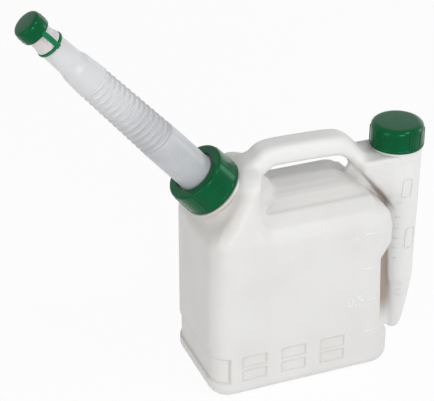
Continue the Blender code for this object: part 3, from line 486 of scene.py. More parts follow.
def skin_of(field):
    """The zero skin of a field on the grid, as points in grid steps and four-sided faces."""
    cells = tuple(n + 1 for n in field.shape)
    rings, crossings = [], []
    for axis in range(3):
        first, second = (axis + 1) % 3, (axis + 2) % 3
        low = np.take(field, range(0, field.shape[axis] - 1), axis)
        high = np.take(field, range(1, field.shape[axis]), axis)
        index = np.argwhere((low < 0) != (high < 0))
        start, stop = low[tuple(index.T)], high[tuple(index.T)]
        crossing = index.astype(float)
        crossing[:, axis] += start / (start - stop)
        ring = []
        for back_first, back_second in ((0, 0), (1, 0), (1, 1), (0, 1)):
            cell = index + 1
            cell[:, first] -= back_first
            cell[:, second] -= back_second
            ring.append(np.ravel_multi_index(tuple(cell.T), cells))
        ring = np.stack(ring, 1)
        ring[start > 0] = ring[start > 0][:, ::-1]
        rings.append(ring)
        crossings.append(np.repeat(crossing, 4, axis=0))
    rings = np.concatenate(rings)
    crossings = np.concatenate(crossings)
    corner = np.unique(rings.ravel(), return_inverse=True)[1]
    count = np.bincount(corner)
    points = np.stack([np.bincount(corner, crossings[:, k]) / count for k in range(3)], 1)
    return points, corner.reshape(-1, 4)


def relaxed(points, faces):
    """Points drawn towards the middle of their neighbours, and back a little more, in turns."""
    a = faces.ravel()
    b = np.roll(faces, -1, axis=1).ravel()
    ends = np.concatenate((a, b)), np.concatenate((b, a))
    count = np.bincount(ends[0])[:, None]
    for step in range(2 * RELAX_ROUNDS):
        pull = np.stack([np.bincount(ends[0], points[ends[1], k]) for k in range(3)], 1) / count - points
        points = points + pull * (RELAX_share if step % 2 == 0 else -RELAX_share * RELAX_BACK)
    return points


def stations(stretches):
    """Places along an axis: (start, stop, step) for each stretch of it."""
    places = [np.linspace(a, b, round((b - a) / step), endpoint=False) for a, b, step in stretches]
    return np.concatenate(places)


def make_tank():
    axes = [stations(stretches) for stretches in (GRID_X, GRID_Y, GRID_Z)]
    x, y, z = np.meshgrid(*axes, indexing="ij", sparse=True)
    points, faces = skin_of(tank_field(x, y, z))
    points = np.stack([np.interp(points[:, k], np.arange(len(axes[k])), axes[k]) for k in range(3)], 1)
    points = relaxed(points, faces)
    mesh = bpy.data.meshes.new("tank_shell")
    mesh.from_pydata((points * MM).tolist(), [], faces.tolist())
    return mesh


NATURAL_WHITE = (0.775, 0.772, 0.766, 1)
NATURAL_MILKY = (0.745, 0.738, 0.726, 1)
# Tan of the pinched web, partly its own tint and partly painted shade, and painted shade in the groove
# beside the head
WEB_TAN_AND_SHADE = (0.30, 0.235, 0.175, 1)
# Painted shade, round the neck's root and along the edges of the bars and the band
PAINTED_SHADE_BEIGE = (0.50, 0.455, 0.415, 1)
# Painted light on the measuring tube, its head and the handle
PAINTED_LIGHT_PALE = (0.84, 0.84, 0.835, 1)
# Painted shade on the finger ridge's flanks, where the handle shades them
FLANK_SHADE_GREY = (0.645, 0.635, 0.620, 1)
SKIN_DEPTHS = (1.0, 0.8, 0.65)
# Where the wall looks different, in metres: each is a soft step (start, end) or a hill
# (middle, half width, edge), and each share says how strongly it shows
# Painted shade round the root of the slanted neck
NECK_SHADE_AROUND = (0.020, 0.034)
NECK_SHADE_ALONG = (-0.030, -0.012)
NECK_SHADE_share = 0.55
# Painted light on the tube and on the wall above about 150 mm
PAINTED_LIGHT_TUBE_X = (0.066, 0.080)
PAINTED_LIGHT_HIGH_Z = (0.146, 0.152)
PAINTED_LIGHT_share = 0.8
# Painted shade on the finger ridge's flanks
FLANK_X = (0.008, 0.037, 0.008)
FLANK_Y = (0.0, 0.0225, 0.0030)
FLANK_Z = (0.1328, 0.0042, 0.0030)
FLANK_SHADE_share = 0.9
# Tan of the pinched web, partly painted shade
WEB_START_X = (0.060, 0.073)
WEB_END_X = (0.078, 0.084)
WEB_Y = (0.0, 0.0022, 0.0030)
WEB_START_Z = (0.006, 0.030)
WEB_END_Z = (0.112, 0.122)
TAN_AND_SHADE_share = 0.85
# Painted shade line in the groove along the head's lower left edge
GROOVE_X = 0.048
GROOVE_Z = 0.146
GROOVE_NORMAL = (0.823, 0.568)
GROOVE_LINE = (-0.0004, 0.0010, 0.0016)
GROOVE_DEEP_Y = (0.0, 0.0125, 0.0025)
GROOVE_DEEP_Z = (0.124, 0.014, 0.008)
GROOVE_SHADE_share = 0.8
# Painted shade along the edges of the stacked bars and the band
BARS_X = (BAR_CENTRE * MM, 0.038, 0.001)
BARS_BETWEEN_Y = (0.0, 0.0370, 0.0004)
BARS_Z = (BAND_MIDDLE * MM, 0.0100, 0.0005)
BAR_LINE = (0.0, 0.0003, 0.0005)
BAR_SHADE_share = 0.35
BAND_LINE = (0.0, 0.0005, 0.0006)
BAND_SHADE_share = 0.42


def fold(value, pitch):
    """How far a value lies from the nearest multiple of the pitch."""
    share = (value / pitch + 0.5).math("FRACT")
    return (share - 0.5).math("ABSOLUTE") * pitch


def natural_polyethylene():
    """Milky white with faint flow clouds; tan in the pinched web, partly painted shade; painted shade under
    parts and at edges; painted light on the tube and handle.
    """
    material, shader, place = new_material("natural_polyethylene")
    feed(shader, Subsurface_Weight=0.12, Subsurface_Radius=SKIN_DEPTHS, Subsurface_Scale=0.004)
    feed(shader, Specular_IOR_Level=0.42)
    x, y, z = place.parts()
    clouds = place.noise(22.0, 3.0)
    streaks = place.stretched(160.0, 160.0, 14.0).noise(1.0)
    grain = place.noise(900.0)
    colour = (clouds * 0.85 + streaks * 0.15).rise(0.38, 0.66).blend(NATURAL_WHITE, NATURAL_MILKY)
    # Painted shade round the root of the slanted neck, under the collar
    across = x - NECK_CENTRE.x * MM
    up = z - NECK_CENTRE.z * MM
    along = up * math.cos(NECK_TILT) - across * math.sin(NECK_TILT)
    sideways = up * math.sin(NECK_TILT) + across * math.cos(NECK_TILT)
    radial = (sideways * sideways + y * y).math("SQRT")
    neck_shade = radial.fall(*NECK_SHADE_AROUND) * along.rise(*NECK_SHADE_ALONG)
    colour = (neck_shade * NECK_SHADE_share).blend(colour, PAINTED_SHADE_BEIGE)
    # Painted light on the measuring tube and its head, and on all the wall higher than about 150 mm, the
    # handle among it
    painted_light = x.rise(*PAINTED_LIGHT_TUBE_X).math("MAXIMUM", z.rise(*PAINTED_LIGHT_HIGH_Z))
    colour = (painted_light * PAINTED_LIGHT_share).blend(colour, PAINTED_LIGHT_PALE)
    # Painted shade, grey on the sides of the finger ridge under the handle
    flank_shade = x.hill(*FLANK_X) * y.hill(*FLANK_Y) * z.hill(*FLANK_Z)
    colour = (flank_shade * FLANK_SHADE_share).blend(colour, FLANK_SHADE_GREY)
    # Tan in the pinched web, partly its own tint and partly painted shade, and a painted shade line in the
    # groove along the head's lower left edge
    tan_and_shade = x.rise(*WEB_START_X) * x.fall(*WEB_END_X) * y.hill(*WEB_Y)
    tan_and_shade = tan_and_shade * z.rise(*WEB_START_Z) * z.fall(*WEB_END_Z)
    beside = (x - GROOVE_X) * GROOVE_NORMAL[0] + (z - GROOVE_Z) * GROOVE_NORMAL[1]
    groove_shade = beside.hill(*GROOVE_LINE) * y.hill(*GROOVE_DEEP_Y) * z.hill(*GROOVE_DEEP_Z)
    tan_and_shade = tan_and_shade.math("MAXIMUM", groove_shade * GROOVE_SHADE_share)
    colour = (tan_and_shade * TAN_AND_SHADE_share).blend(colour, WEB_TAN_AND_SHADE)
    # Painted shade along the edges of the stacked bars and the band
    fold_x = fold(x - BAR_CENTRE * MM, BAR_PITCH * MM) - BAR_WIDTH / 2 * MM
    fold_z = fold(z - (BAR_LOW + BAR_HEIGHT / 2) * MM, BAR_RISE * MM) - BAR_HEIGHT / 2 * MM
    bars = fold_x.math("MAXIMUM", fold_z).hill(*BAR_LINE)
    bars = bars * x.hill(*BARS_X) * z.hill(*BARS_Z) * (1 - y.hill(*BARS_BETWEEN_Y))
    rows = (z - BAND_MIDDLE * MM).math("ABSOLUTE") - BAND_HALF * MM
    band = rows.math("MAXIMUM", x - BAND_END * MM).hill(*BAND_LINE)
    edges = (bars * BAR_SHADE_share).math("MAXIMUM", band * BAND_SHADE_share)
    colour = edges.blend(colour, PAINTED_SHADE_BEIGE)
    relief = 0.5 * clouds + 0.06 * streaks + 0.04 * grain
    feed(shader, Base_Color=colour, Roughness=0.36 + 0.10 * clouds + 0.05 * grain)
    feed(shader, Normal=relief.bump(0.10, 0.002))
    return material


def finished(name, mesh, material, body, slot, *nodes):
    """A piece at the origin, with its finish, the body it rides on and the nodes it stands for."""
    mesh.materials.clear()
    mesh.materials.append(material)
    mesh.shade_smooth()
    thing = bpy.data.objects.new(name, mesh)
    bpy.context.scene.collection.objects.link(thing)
    if body:
        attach(thing, body)
    if nodes:
        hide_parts(*nodes)
    return thing


natural = natural_polyethylene()
tank_mesh = make_tank()
finished("tank_shell", tank_mesh, natural, "bottle", "tank", "tank")


# Necks
# Both screw necks are moulded with the tank: a round disc, a short pipe with a helical thread
# and a flat mouth. The slanted one carries the spout, the upright one the measuring cap.
ON_NECK = Matrix.Translation(NECK_CENTRE * MM) @ Matrix.Rotation(-NECK_TILT, 4, "Y") @ Matrix.Scale(MM, 4)
ON_TUBE = Matrix.Translation(Vector((TUBE_X, 0, HEAD_TOP)) * MM) @ Matrix.Scale(MM, 4)
SHARP_ANGLE = math.radians(38)
MAIN_NECK = (
    (15.2, -7.0, 0), (19.4, -7.0, 0), (19.4, -3.6, 0), (22.1, -3.0, 0.8), (22.1, -0.6, 0.9),
    (17.3, -0.6, 0.4), (17.3, 12.1, 0.6), (15.2, 12.1, 0.5),
)
MAIN_THREAD = {"radius": 17.6, "start": 1.6, "pitch": 4.0, "turns": 2.0}
MEASURE_NECK = (
    (12.2, -6.0, 0), (15.4, -6.0, 0), (16.4, -1.0, 0.8), (16.8, 1.8, 0.6), (14.4, 1.8, 0.4),
    (14.4, 15.0, 0.6), (12.2, 15.0, 0.5),
)
MEASURE_THREAD = {"radius": 14.7, "start": 5.4, "pitch": 3.6, "turns": 1.5}
THREAD_BEAD = 0.75
MERGE_DISTANCE = 0.0005


def filleted(corners, steps=4):
    """An outline from corners (radius, height, rounding)."""
    points = []
    for k, (r, z, size) in enumerate(corners):
        here = Vector((r, z))
        before = Vector(corners[k - 1][:2]) - here
        after = Vector(corners[(k + 1) % len(corners)][:2]) - here
        if not size:
            points.append((r, z))
            continue
        start = here + before.normalized() * min(size, before.length / 2)
        end = here + after.normalized() * min(size, after.length / 2)
        for s in range(steps + 1):
            t = s / steps
            points.append(tuple(start * (1 - t)**2 + here * (2 * t * (1 - t)) + end * t**2))
    return points


def closed_mesh(name, shape, place):
    """The mesh of a bmesh in millimetres, with doubles merged and faces outwards, set in its place."""
    bmesh.ops.remove_doubles(shape, verts=shape.verts, dist=MERGE_DISTANCE)
    bmesh.ops.delete(shape, geom=[e for e in shape.edges if not e.link_faces], context="EDGES")
    bmesh.ops.recalc_face_normals(shape, faces=shape.faces)
    mesh = bpy.data.meshes.new(name)
    shape.to_mesh(mesh)
    shape.free()
    mesh.transform(place)
    return mesh


def turned(name, outline, place, steps=112):
    """A turned solid whose outline (radius, height) runs once round its section."""
    shape = bmesh.new()
    rows = []
    for k in range(steps):
        angle = 2 * math.pi * k / steps
        rows.append([shape.verts.new((r * math.cos(angle), r * math.sin(angle), z)) for r, z in outline])
    for k, row in enumerate(rows):
        after = rows[(k + 1) % steps]
        for j, point in enumerate(row):
            below = (j + 1) % len(row)
            shape.faces.new((point, after[j], after[below], row[below]))
    return closed_mesh(name, shape, place)


def one_mesh(name, *meshes):
    shape = bmesh.new()
    for mesh in meshes:
        shape.from_mesh(mesh)
    whole = bpy.data.meshes.new(name)
    shape.to_mesh(whole)
    shape.free()
    return whole


def growth(name, kinds):
    """A new Geometry Nodes tree, and a Flow for each of its named inputs."""
    tree = bpy.data.node_groups.new(name, "GeometryNodeTree")
    tree.interface.new_socket("Geometry", in_out="OUTPUT", socket_type="NodeSocketGeometry")
    kinds = {"Geometry": "Geometry", "Finish": "Material", **kinds}
    for label, kind in kinds.items():
        tree.interface.new_socket(label, in_out="INPUT", socket_type="NodeSocket" + kind)
    start = tree.nodes.new("NodeGroupInput")
    return {label: Flow(tree, start.outputs[label]) for label in kinds}


def grow_out(geometry, finish):
    """Ends a tree with Realize Instances and Set Material."""
    whole = geometry.add("GeometryNodeRealizeInstances", ((0, geometry),))
    whole = whole.add("GeometryNodeSetMaterial", (("Geometry", whole), ("Material", finish)))
    end = whole.tree.nodes.new("NodeGroupOutput")
    whole.tree.links.new(whole.output, end.inputs[0])
    return whole.tree


def grown(name, tree, mesh, **values):
    """The plain mesh that a tree makes of another mesh."""
    seed = bpy.data.objects.new(name, mesh)
    bpy.context.scene.collection.objects.link(seed)
    grow = seed.modifiers.new("grow", "NODES")
    grow.node_group = tree
    for item in tree.interface.items_tree:
        if item.in_out == "INPUT" and item.name in values:
            grow[item.identifier] = values[item.name]
    bpy.context.view_layer.update()
    graph = bpy.context.evaluated_depsgraph_get()
    result = bpy.data.meshes.new_from_object(seed.evaluated_get(graph))
    seed.modifiers.remove(grow)
    bpy.data.objects.remove(seed)
    result.name = name
    return result


def beads():
    """Round beads along the edges of a mesh, for threads and raised lines."""
    flow = growth("beads", {"Radius": "Float"})
    lines = flow["Geometry"].add("GeometryNodeMeshToCurve", (("Mesh", flow["Geometry"]),))
    ring = lines.add("GeometryNodeCurvePrimitiveCircle", (("Resolution", 10), ("Radius", flow["Radius"])))
    swept = (("Curve", lines), ("Profile Curve", ring), ("Fill Caps", True))
    bead = lines.add("GeometryNodeCurveToMesh", swept)
    return grow_out(bead, flow["Finish"])


def path_mesh(name, paths):
    """Open paths of points as the edges of one mesh."""
    points, edges = [], []
    for path in paths:
        edges += [(len(points) + k, len(points) + k + 1) for k in range(len(path) - 1)]
        points += path
    mesh = bpy.data.meshes.new(name)
    mesh.from_pydata([tuple(p) for p in points], edges, [])
    return mesh


def helix(radius, start, pitch, turns, steps=40):
    count = round(turns * steps)
    path = []
    for k in range(count + 1):
        angle = 2 * math.pi * k / steps
        path.append((radius * math.cos(angle), radius * math.sin(angle), start + pitch * k / steps))
    return path


def screw_neck(name, corners, place, thread_sizes):
    pipe = turned(name, filleted(corners), place)
    coil = path_mesh(name, [helix(**thread_sizes)])
    thread = grown(name, bead_tree, coil, Radius=THREAD_BEAD, Finish=natural)
    thread.transform(place)
    mesh = one_mesh(name, pipe, thread)
    mesh.set_sharp_from_angle(angle=SHARP_ANGLE)
    return mesh


bead_tree = beads()
neck_mesh = screw_neck("main_neck", MAIN_NECK, ON_NECK, MAIN_THREAD)
finished("main_neck", neck_mesh, natural, "bottle", "tank", "tank")
neck_mesh = screw_neck("measuring_neck", MEASURE_NECK, ON_TUBE, MEASURE_THREAD)
finished("measuring_neck", neck_mesh, natural, "bottle", "tank", "tank")


# Level marks
# Numbers and short lines stand proud of the front face where each quarter litre comes, and
# small frames and lines on the measuring tube; all are moulded with the tank's own wall.
MARK_HEIGHT = 0.50
NUMBER_HEIGHT = 7.6
LETTER_EDGE = 0.18
LINE_RADIUS = 0.50
FRAME_RADIUS = 0.38
FRAME_CORNER = 1.6
FRAME_STEP = 1.2
CORNER_STEPS = 3
CAP_HEIGHT_share = 0.72
RAY_START = -60.0
LEVEL_NUMBERS = (("1", 34.2, 109.2), ("0.5", 35.8, 57.6))
LEVEL_LINES = ((40.5, 51.5, 109.0), (41.0, 49.5, 82.0), (44.5, 52.0, 56.4), (44.0, 52.5, 31.0))
TUBE_FRAMES = ((80.3, 87.3, 114.5, 128.7), (86.0, 93.0, 72.0, 88.0))
TUBE_LINES = (
    (78.6, 81.4, 110.0), (78.6, 81.4, 98.0), (78.4, 81.2, 89.0), (78.4, 81.2, 80.6), (78.6, 81.2, 72.2),
    (79.0, 81.4, 63.8), (83.8, 87.0, 42.0), (84.0, 87.0, 37.0), (84.2, 87.0, 32.0),
)
# Painted highlight: the marks are lighter than the wall they are moulded of
MARK_HIGHLIGHT_WHITE = (0.85, 0.85, 0.845, 1)
MARK_HIGHLIGHT_MILKY = (0.80, 0.80, 0.795, 1)
# Painted shade on the marks of the pale tube
MARK_SHADE_GREY = (0.68, 0.675, 0.665, 1)
MARK_SHADE_X = (0.066, 0.074)


def raised_number(text, x, z):
    letters = bpy.data.curves.new("level_number", "FONT")
    letters.body = text
    letters.align_x = "CENTER"
    letters.align_y = "CENTER"
    letters.size = NUMBER_HEIGHT / CAP_HEIGHT_share
    letters.extrude = MARK_HEIGHT - LETTER_EDGE
    letters.bevel_depth = LETTER_EDGE
    letters.offset = -LETTER_EDGE / 2
    letters.bevel_resolution = 1
    holder = bpy.data.objects.new("level_number", letters)
    bpy.context.scene.collection.objects.link(holder)
    bpy.context.view_layer.update()
    graph = bpy.context.evaluated_depsgraph_get()
    mesh = bpy.data.meshes.new_from_object(holder.evaluated_get(graph))
    bpy.data.objects.remove(holder)
    place = Matrix.Translation(Vector((x, -HALF_WIDTH, z)) * MM) @ Matrix.Rotation(math.pi / 2, 4, "X")
    mesh.transform(place @ Matrix.Scale(MM, 4))
    return mesh


def on_front(x, z):
    """The point of the tank's front skin at a place, in millimetres."""
    hit = tank_skin.ray_cast(Vector((x, RAY_START, z)) * MM, Vector((0, 1, 0)))[0]
    return hit / MM


def raised_line(start_x, end_x, z, steps=6):
    return [on_front(start_x + (end_x - start_x) * k / steps, z) for k in range(steps + 1)]


def raised_frame(left, right, low, high):
    """A rounded frame that follows the skin."""
    near, far = left + FRAME_CORNER, right - FRAME_CORNER
    foot, top = low + FRAME_CORNER, high - FRAME_CORNER
    path = []
    for x, z, start in ((far, top, 0), (near, top, 90), (near, foot, 180), (far, foot, 270)):
        for k in range(CORNER_STEPS + 1):
            angle = math.radians(start + 90 * k / CORNER_STEPS)
            path.append(Vector((x, z)) + FRAME_CORNER * Vector((math.cos(angle), math.sin(angle))))
    path.append(path[0])
    points = []
    for a, b in zip(path, path[1:]):
        steps = max(1, round((b - a).length / FRAME_STEP))
        points += [on_front(*(a + (b - a) * k / steps)) for k in range(steps)]
    return points + [points[0]]


def moulded_marks():
    """The tank's own plastic, lighter on the front by a painted highlight and greyer on the pale tube by
    painted shade.
    """
    material, shader, place = new_material("moulded_marks")
    feed(shader, Subsurface_Weight=0.10, Subsurface_Radius=SKIN_DEPTHS, Subsurface_Scale=0.002)
    clouds = place.noise(120.0)
    # Painted highlight, lighter than the wall
    colour = clouds.rise(0.35, 0.75).blend(MARK_HIGHLIGHT_WHITE, MARK_HIGHLIGHT_MILKY)
    # Painted shade on the marks of the tube
    colour = place.parts()[0].rise(*MARK_SHADE_X).blend(colour, MARK_SHADE_GREY)
    feed(shader, Base_Color=colour, Roughness=0.30 + 0.08 * clouds)
    return material


skin_points = [vert.co for vert in tank_mesh.vertices]
tank_skin = BVHTree.FromPolygons(skin_points, [face.vertices for face in tank_mesh.polygons])
mark_finish = moulded_marks()
numbers = [raised_number(*number) for number in LEVEL_NUMBERS]
lines = path_mesh("level_lines", [raised_line(*line) for line in LEVEL_LINES + TUBE_LINES])
frames = path_mesh("tube_frames", [raised_frame(*sides) for sides in TUBE_FRAMES])
line_beads = grown("level_lines", bead_tree, lines, Radius=LINE_RADIUS, Finish=mark_finish)
frame_beads = grown("tube_frames", bead_tree, frames, Radius=FRAME_RADIUS, Finish=mark_finish)
for mesh in (line_beads, frame_beads):
    mesh.transform(Matrix.Scale(MM, 4))
marks = one_mesh("level_marks", line_beads, frame_beads, *numbers)
marks.set_sharp_from_angle(angle=SHARP_ANGLE)
finished("level_marks", marks, mark_finish, "bottle", "tank")


# Pouring spout
# One soft, translucent pipe: its disc is clamped under the collar, fine ribs let it bend in the
# middle, and its nozzle narrows in a small step to the groove of the tether and the tip.
RIBS_START = 56.5
RIBS_LENGTH = 63.8
RIB_COUNT = 14
RIB_ROWS = 10
RIB_DEPTH = 1.25
RIB_RISE = (0.30, 0.62)
RIB_FALL = (0.64, 0.86)
RIBS_FADE = 0.03
RIBS_LOW_RADIUS = 12.7
RIBS_HIGH_RADIUS = 11.2
RIB_BORE = 10.8
BORE_LOW_RADIUS = 10.4
BORE_HIGH_RADIUS = 8.9
BORE_ROWS = 20
BORE_FOOT = (11.3, 16.2)
SPOUT_BASE = (
    (13.1, 9.2, 0), (14.6, 9.2, 0.2), (14.6, 14.2, 0.2), (17.6, 14.2, 0.3), (17.6, 16.2, 0.4),
    (13.2, 16.2, 0.4), (12.85, 18.2, 1.0), (12.8, 30.0, 0), (12.75, 44.0, 0), (12.7, 55.5, 0),
)
SPOUT_NOZZLE = (
    (11.1, 121.5, 0), (10.1, 134.8, 0.7), (8.85, 138.9, 0.9), (8.4, 156.4, 0.4),
    (7.4, 156.4, 0.2), (7.4, 158.6, 0.2), (8.7, 158.6, 0.5), (8.7, 160.2, 0.6), (7.8, 163.4, 0.6),
    (7.8, 168.6, 0.3), (7.2, 168.6, 0.1), (7.2, 176.7, 0.4), (5.4, 176.7, 0.4), (5.4, 168.6, 0.6),
    (5.9, 165.6, 0.6), (5.9, 138.7, 0.8), (8.4, 131.7, 0.8), (8.9, 120.3, 0),
)
TIP_THREAD = {"radius": 7.3, "start": 170.7, "pitch": 2.8, "turns": 1.0}
TIP_BEAD = 0.55
SPOUT_GREY = (0.530, 0.545, 0.570, 1)
SPOUT_DEEP = (0.475, 0.490, 0.515, 1)
SPOUT_PALE = (0.690, 0.700, 0.715, 1)
# Painted shade in the valleys between the ribs
SPOUT_VALLEY_SHADE = (0.440, 0.445, 0.460, 1)
SPOUT_PINK = (0.66, 0.60, 0.585, 1)
PALE_Z = (0.175, 0.235)
PALE_share = 0.85
PINK_Z = (0.255, 0.268)
PINK_share = 0.7
VALLEY_SHADE_share = 0.45


def spout_outline():
    rows = RIB_COUNT * RIB_ROWS
    outer = []
    for k in range(rows + 1):
        share = k / rows
        radius = RIBS_LOW_RADIUS + (RIBS_HIGH_RADIUS - RIBS_LOW_RADIUS) * share
        outer.append((radius, RIBS_START + RIBS_LENGTH * share))
    inner = []
    for k in range(1, BORE_ROWS + 1):
        share = k / BORE_ROWS
        radius = BORE_HIGH_RADIUS + (BORE_LOW_RADIUS - BORE_HIGH_RADIUS) * share
        inner.append((radius, RIBS_START + RIBS_LENGTH * (1 - share)))
    return filleted(SPOUT_BASE) + outer + filleted(SPOUT_NOZZLE) + inner + [BORE_FOOT]


def soft_ribs():
    """Ribs with a slow rise and a quick fall, pressed into the outer side of a pipe along Z."""
    sizes = {"Start": "Float", "Length": "Float", "Ribs": "Int", "Depth": "Float", "Bore": "Float"}
    flow = growth("soft_ribs", sizes)
    x, y, z = flow["Geometry"].add("GeometryNodeInputPosition").parts()
    radius = (x * x + y * y).math("SQRT")
    share = (z - flow["Start"]) / flow["Length"]
    turn = (share * flow["Ribs"]).math("FRACT")
    crest = turn.rise(*RIB_RISE) * turn.fall(*RIB_FALL)
    ribbed = share.rise(0.0, RIBS_FADE) * share.fall(1.0 - RIBS_FADE, 1.0)
    ribbed = ribbed * radius.math("GREATER_THAN", flow["Bore"])
    pull = (crest - 1) * flow["Depth"] * ribbed / radius
    push = pull.add("ShaderNodeCombineXYZ", ((0, x * pull), (1, y * pull)))
    moved = push.add("GeometryNodeSetPosition", (("Geometry", flow["Geometry"]), ("Offset", push)))
    note = (("Geometry", moved), ("Name", "valley"), ("Value", (1 - crest) * ribbed))
    noted = moved.add("GeometryNodeStoreNamedAttribute", note, data_type="FLOAT", domain="POINT")
    return grow_out(noted, flow["Finish"])


def translucent_polyethylene():
    """Cool grey, with painted shade in the valleys between the ribs, and a little warm at the thin tip."""
    material, shader, place = new_material("translucent_polyethylene")
    feed(shader, Subsurface_Weight=0.22, Subsurface_Radius=(1.0, 0.95, 0.95), Subsurface_Scale=0.004)
    feed(shader, Specular_IOR_Level=0.55)
    clouds = place.noise(60.0, 3.0)
    grain = place.noise(1200.0)
    height = place.parts()[2]
    valley = place.add("ShaderNodeAttribute", (), "Fac", attribute_name="valley")
    colour = clouds.rise(0.35, 0.70).blend(SPOUT_GREY, SPOUT_DEEP)
    colour = (height.rise(*PALE_Z) * PALE_share).blend(colour, SPOUT_PALE)
    # Painted shade in the valleys between the ribs
    colour = (valley * VALLEY_SHADE_share).blend(colour, SPOUT_VALLEY_SHADE)
    colour = (height.rise(*PINK_Z) * PINK_share).blend(colour, SPOUT_PINK)
    feed(shader, Base_Color=colour, Roughness=0.27 + 0.06 * clouds + 0.03 * grain)
    feed(shader, Normal=grain.bump(0.05, 0.0004))
    return material


spout_finish = translucent_polyethylene()
pipe = turned("spout_pipe", spout_outline(), Matrix.Identity(4), steps=80)
ribbed = grown("pouring_spout", soft_ribs(), pipe, Start=RIBS_START, Length=RIBS_LENGTH,
               Ribs=RIB_COUNT, Depth=RIB_DEPTH, Bore=RIB_BORE, Finish=spout_finish)
tip_coil = path_mesh("tip_thread", [helix(**TIP_THREAD)])
tip_thread = grown("tip_thread", bead_tree, tip_coil, Radius=TIP_BEAD, Finish=spout_finish)
spout_mesh = one_mesh("pouring_spout", ribbed, tip_thread)
spout_mesh.set_sharp_from_angle(angle=SHARP_ANGLE)
spout_mesh.transform(ON_NECK)
pouring_spout = finished("pouring_spout", spout_mesh, spout_finish, None, "spout",
                         "spout_base", "spout_bellows", "spout_nozzle")
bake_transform(pouring_spout)


# Screw collar
# A glossy green ring with a flat top and a round rim. Thin upright ribs part its side into
# eight panels above a plain band, and its thread draws the spout's disc onto the seal.
COLLAR = (
    (14.3, 16.5, 0.2), (14.3, 19.1, 0.8), (20.9, 19.1, 1.8), (21.25, 2.6, 0.3),
    (21.6, 2.2, 0.3), (21.6, 0.0, 0.6), (19.5, 0.0, 0.4), (19.5, 16.5, 0.4),
)
COLLAR_RIB = {
    "width": 1.5, "depth": 0.30, "low": 1.6, "high": 17.5, "low_radius": 21.28, "high_radius": 20.90,
    "rounding": 0.28,
}
COLLAR_RIBS = 8
COLLAR_FIRST_RIB = 10.0
GREEN = (0.0010, 0.086, 0.025, 1)
GREEN_DEEP = (0.0008, 0.072, 0.021, 1)
GREEN_SCUFFED = (0.0025, 0.100, 0.034, 1)
GLOSS_TINT = (0.25, 1.0, 0.65, 1)


def grip(width, depth, low, high, low_radius, high_radius, rounding, sink=0.9):
    """One upright rib at the side of a cap, sunk into it, with rounded edges and ends."""
    shape = bmesh.new()
    bmesh.ops.create_cube(shape, size=1)
    for vert in shape.verts:
        end = vert.co.z > 0
        radius = high_radius if end else low_radius
        x = radius + depth if vert.co.x > 0 else radius - sink
        vert.co = Vector((x, width * vert.co.y, high if end else low))
    bmesh.ops.bevel(shape, geom=shape.edges[:], offset=rounding, segments=3, profile=0.5, affect="EDGES",
                    clamp_overlap=True)
    return closed_mesh("grip", shape, Matrix.Identity(4))


def grips_round():
    """Copies of one grip, evenly round the Z axis."""
    flow = growth("grips_round", {"Count": "Int", "First": "Float"})
    points = flow["Count"].add("GeometryNodePoints", (("Count", flow["Count"]),))
    place = points.add("GeometryNodeInputIndex")
    angle = flow["First"] + place * (2 * math.pi) / flow["Count"]
    turn = angle.add("ShaderNodeCombineXYZ", ((2, angle),))
    ring = (("Points", points), ("Instance", flow["Geometry"]), ("Rotation", turn))
    copies = turn.add("GeometryNodeInstanceOnPoints", ring)
    return grow_out(copies, flow["Finish"])


def moulded_green(name, base, deep, scuffed, roughness):
    """Glossy green plastic with faint flow clouds, and fine handling marks in its gloss."""
    material, shader, place = new_material(name)
    feed(shader, Specular_IOR_Level=0.28, Specular_Tint=GLOSS_TINT)
    clouds = place.noise(70.0, 3.0)
    scuffs = place.stretched(700.0, 700.0, 160.0).noise(1.0, 4.0)
    colour = clouds.rise(0.35, 0.68).blend(base, deep)
    colour = (scuffs.rise(0.58, 0.74) * 0.5).blend(colour, scuffed)
    feed(shader, Base_Color=colour, Roughness=roughness + 0.04 * scuffs + 0.04 * clouds)
    feed(shader, Normal=clouds.bump(0.05, 0.0008))
    return material


def with_grips(name, body, place, sizes, count, first):
    """A cap's body with grips round it, the first one turned by so many degrees."""
    ring = grown(name, grip_tree, grip(**sizes), Count=count, First=math.radians(first), Finish=green)
    ring.transform(place)
    mesh = one_mesh(name, body, ring)
    mesh.set_sharp_from_angle(angle=SHARP_ANGLE)
    return mesh


grip_tree = grips_round()
green = moulded_green("glossy_green", GREEN, GREEN_DEEP, GREEN_SCUFFED, 0.12)
collar_body = turned("screw_collar", filleted(COLLAR, steps=6), ON_NECK)
collar_mesh = with_grips("screw_collar", collar_body, ON_NECK, COLLAR_RIB, COLLAR_RIBS, COLLAR_FIRST_RIB)
finished("screw_collar", collar_mesh, green, "collar", "green_cap", "spout_collar")


# Measuring cap
# A glossy green screw cap with a softly rounded top, twelve thin grips whose ends fade into
# it, and a plain band at its foot. It closes the upright neck of the measuring tube.
MEASURE_CAP = (
    (0.0, 18.7, 0), (18.0, 18.7, 4.6), (18.2, 4.2, 0.2), (18.6, 3.9, 0.2),
    (18.6, 2.3, 0.5), (16.6, 2.3, 0.3), (16.6, 16.9, 0.4), (0.0, 16.9, 0),
)
MEASURE_GRIP = {
    "width": 1.3, "depth": 0.38, "low": 3.4, "high": 14.8, "low_radius": 18.2, "high_radius": 18.08,
    "rounding": 0.32,
}
MEASURE_GRIPS = 12
MEASURE_FIRST_GRIP = -118.3
cap_body = turned("measuring_cap_shell", filleted(MEASURE_CAP, steps=7), ON_TUBE)
cap_mesh = with_grips("measuring_cap_shell", cap_body, ON_TUBE, MEASURE_GRIP, MEASURE_GRIPS,
                      MEASURE_FIRST_GRIP)
finished("measuring_cap_shell", cap_mesh, green, "measure_cap", "green_cap", "measuring_cap")


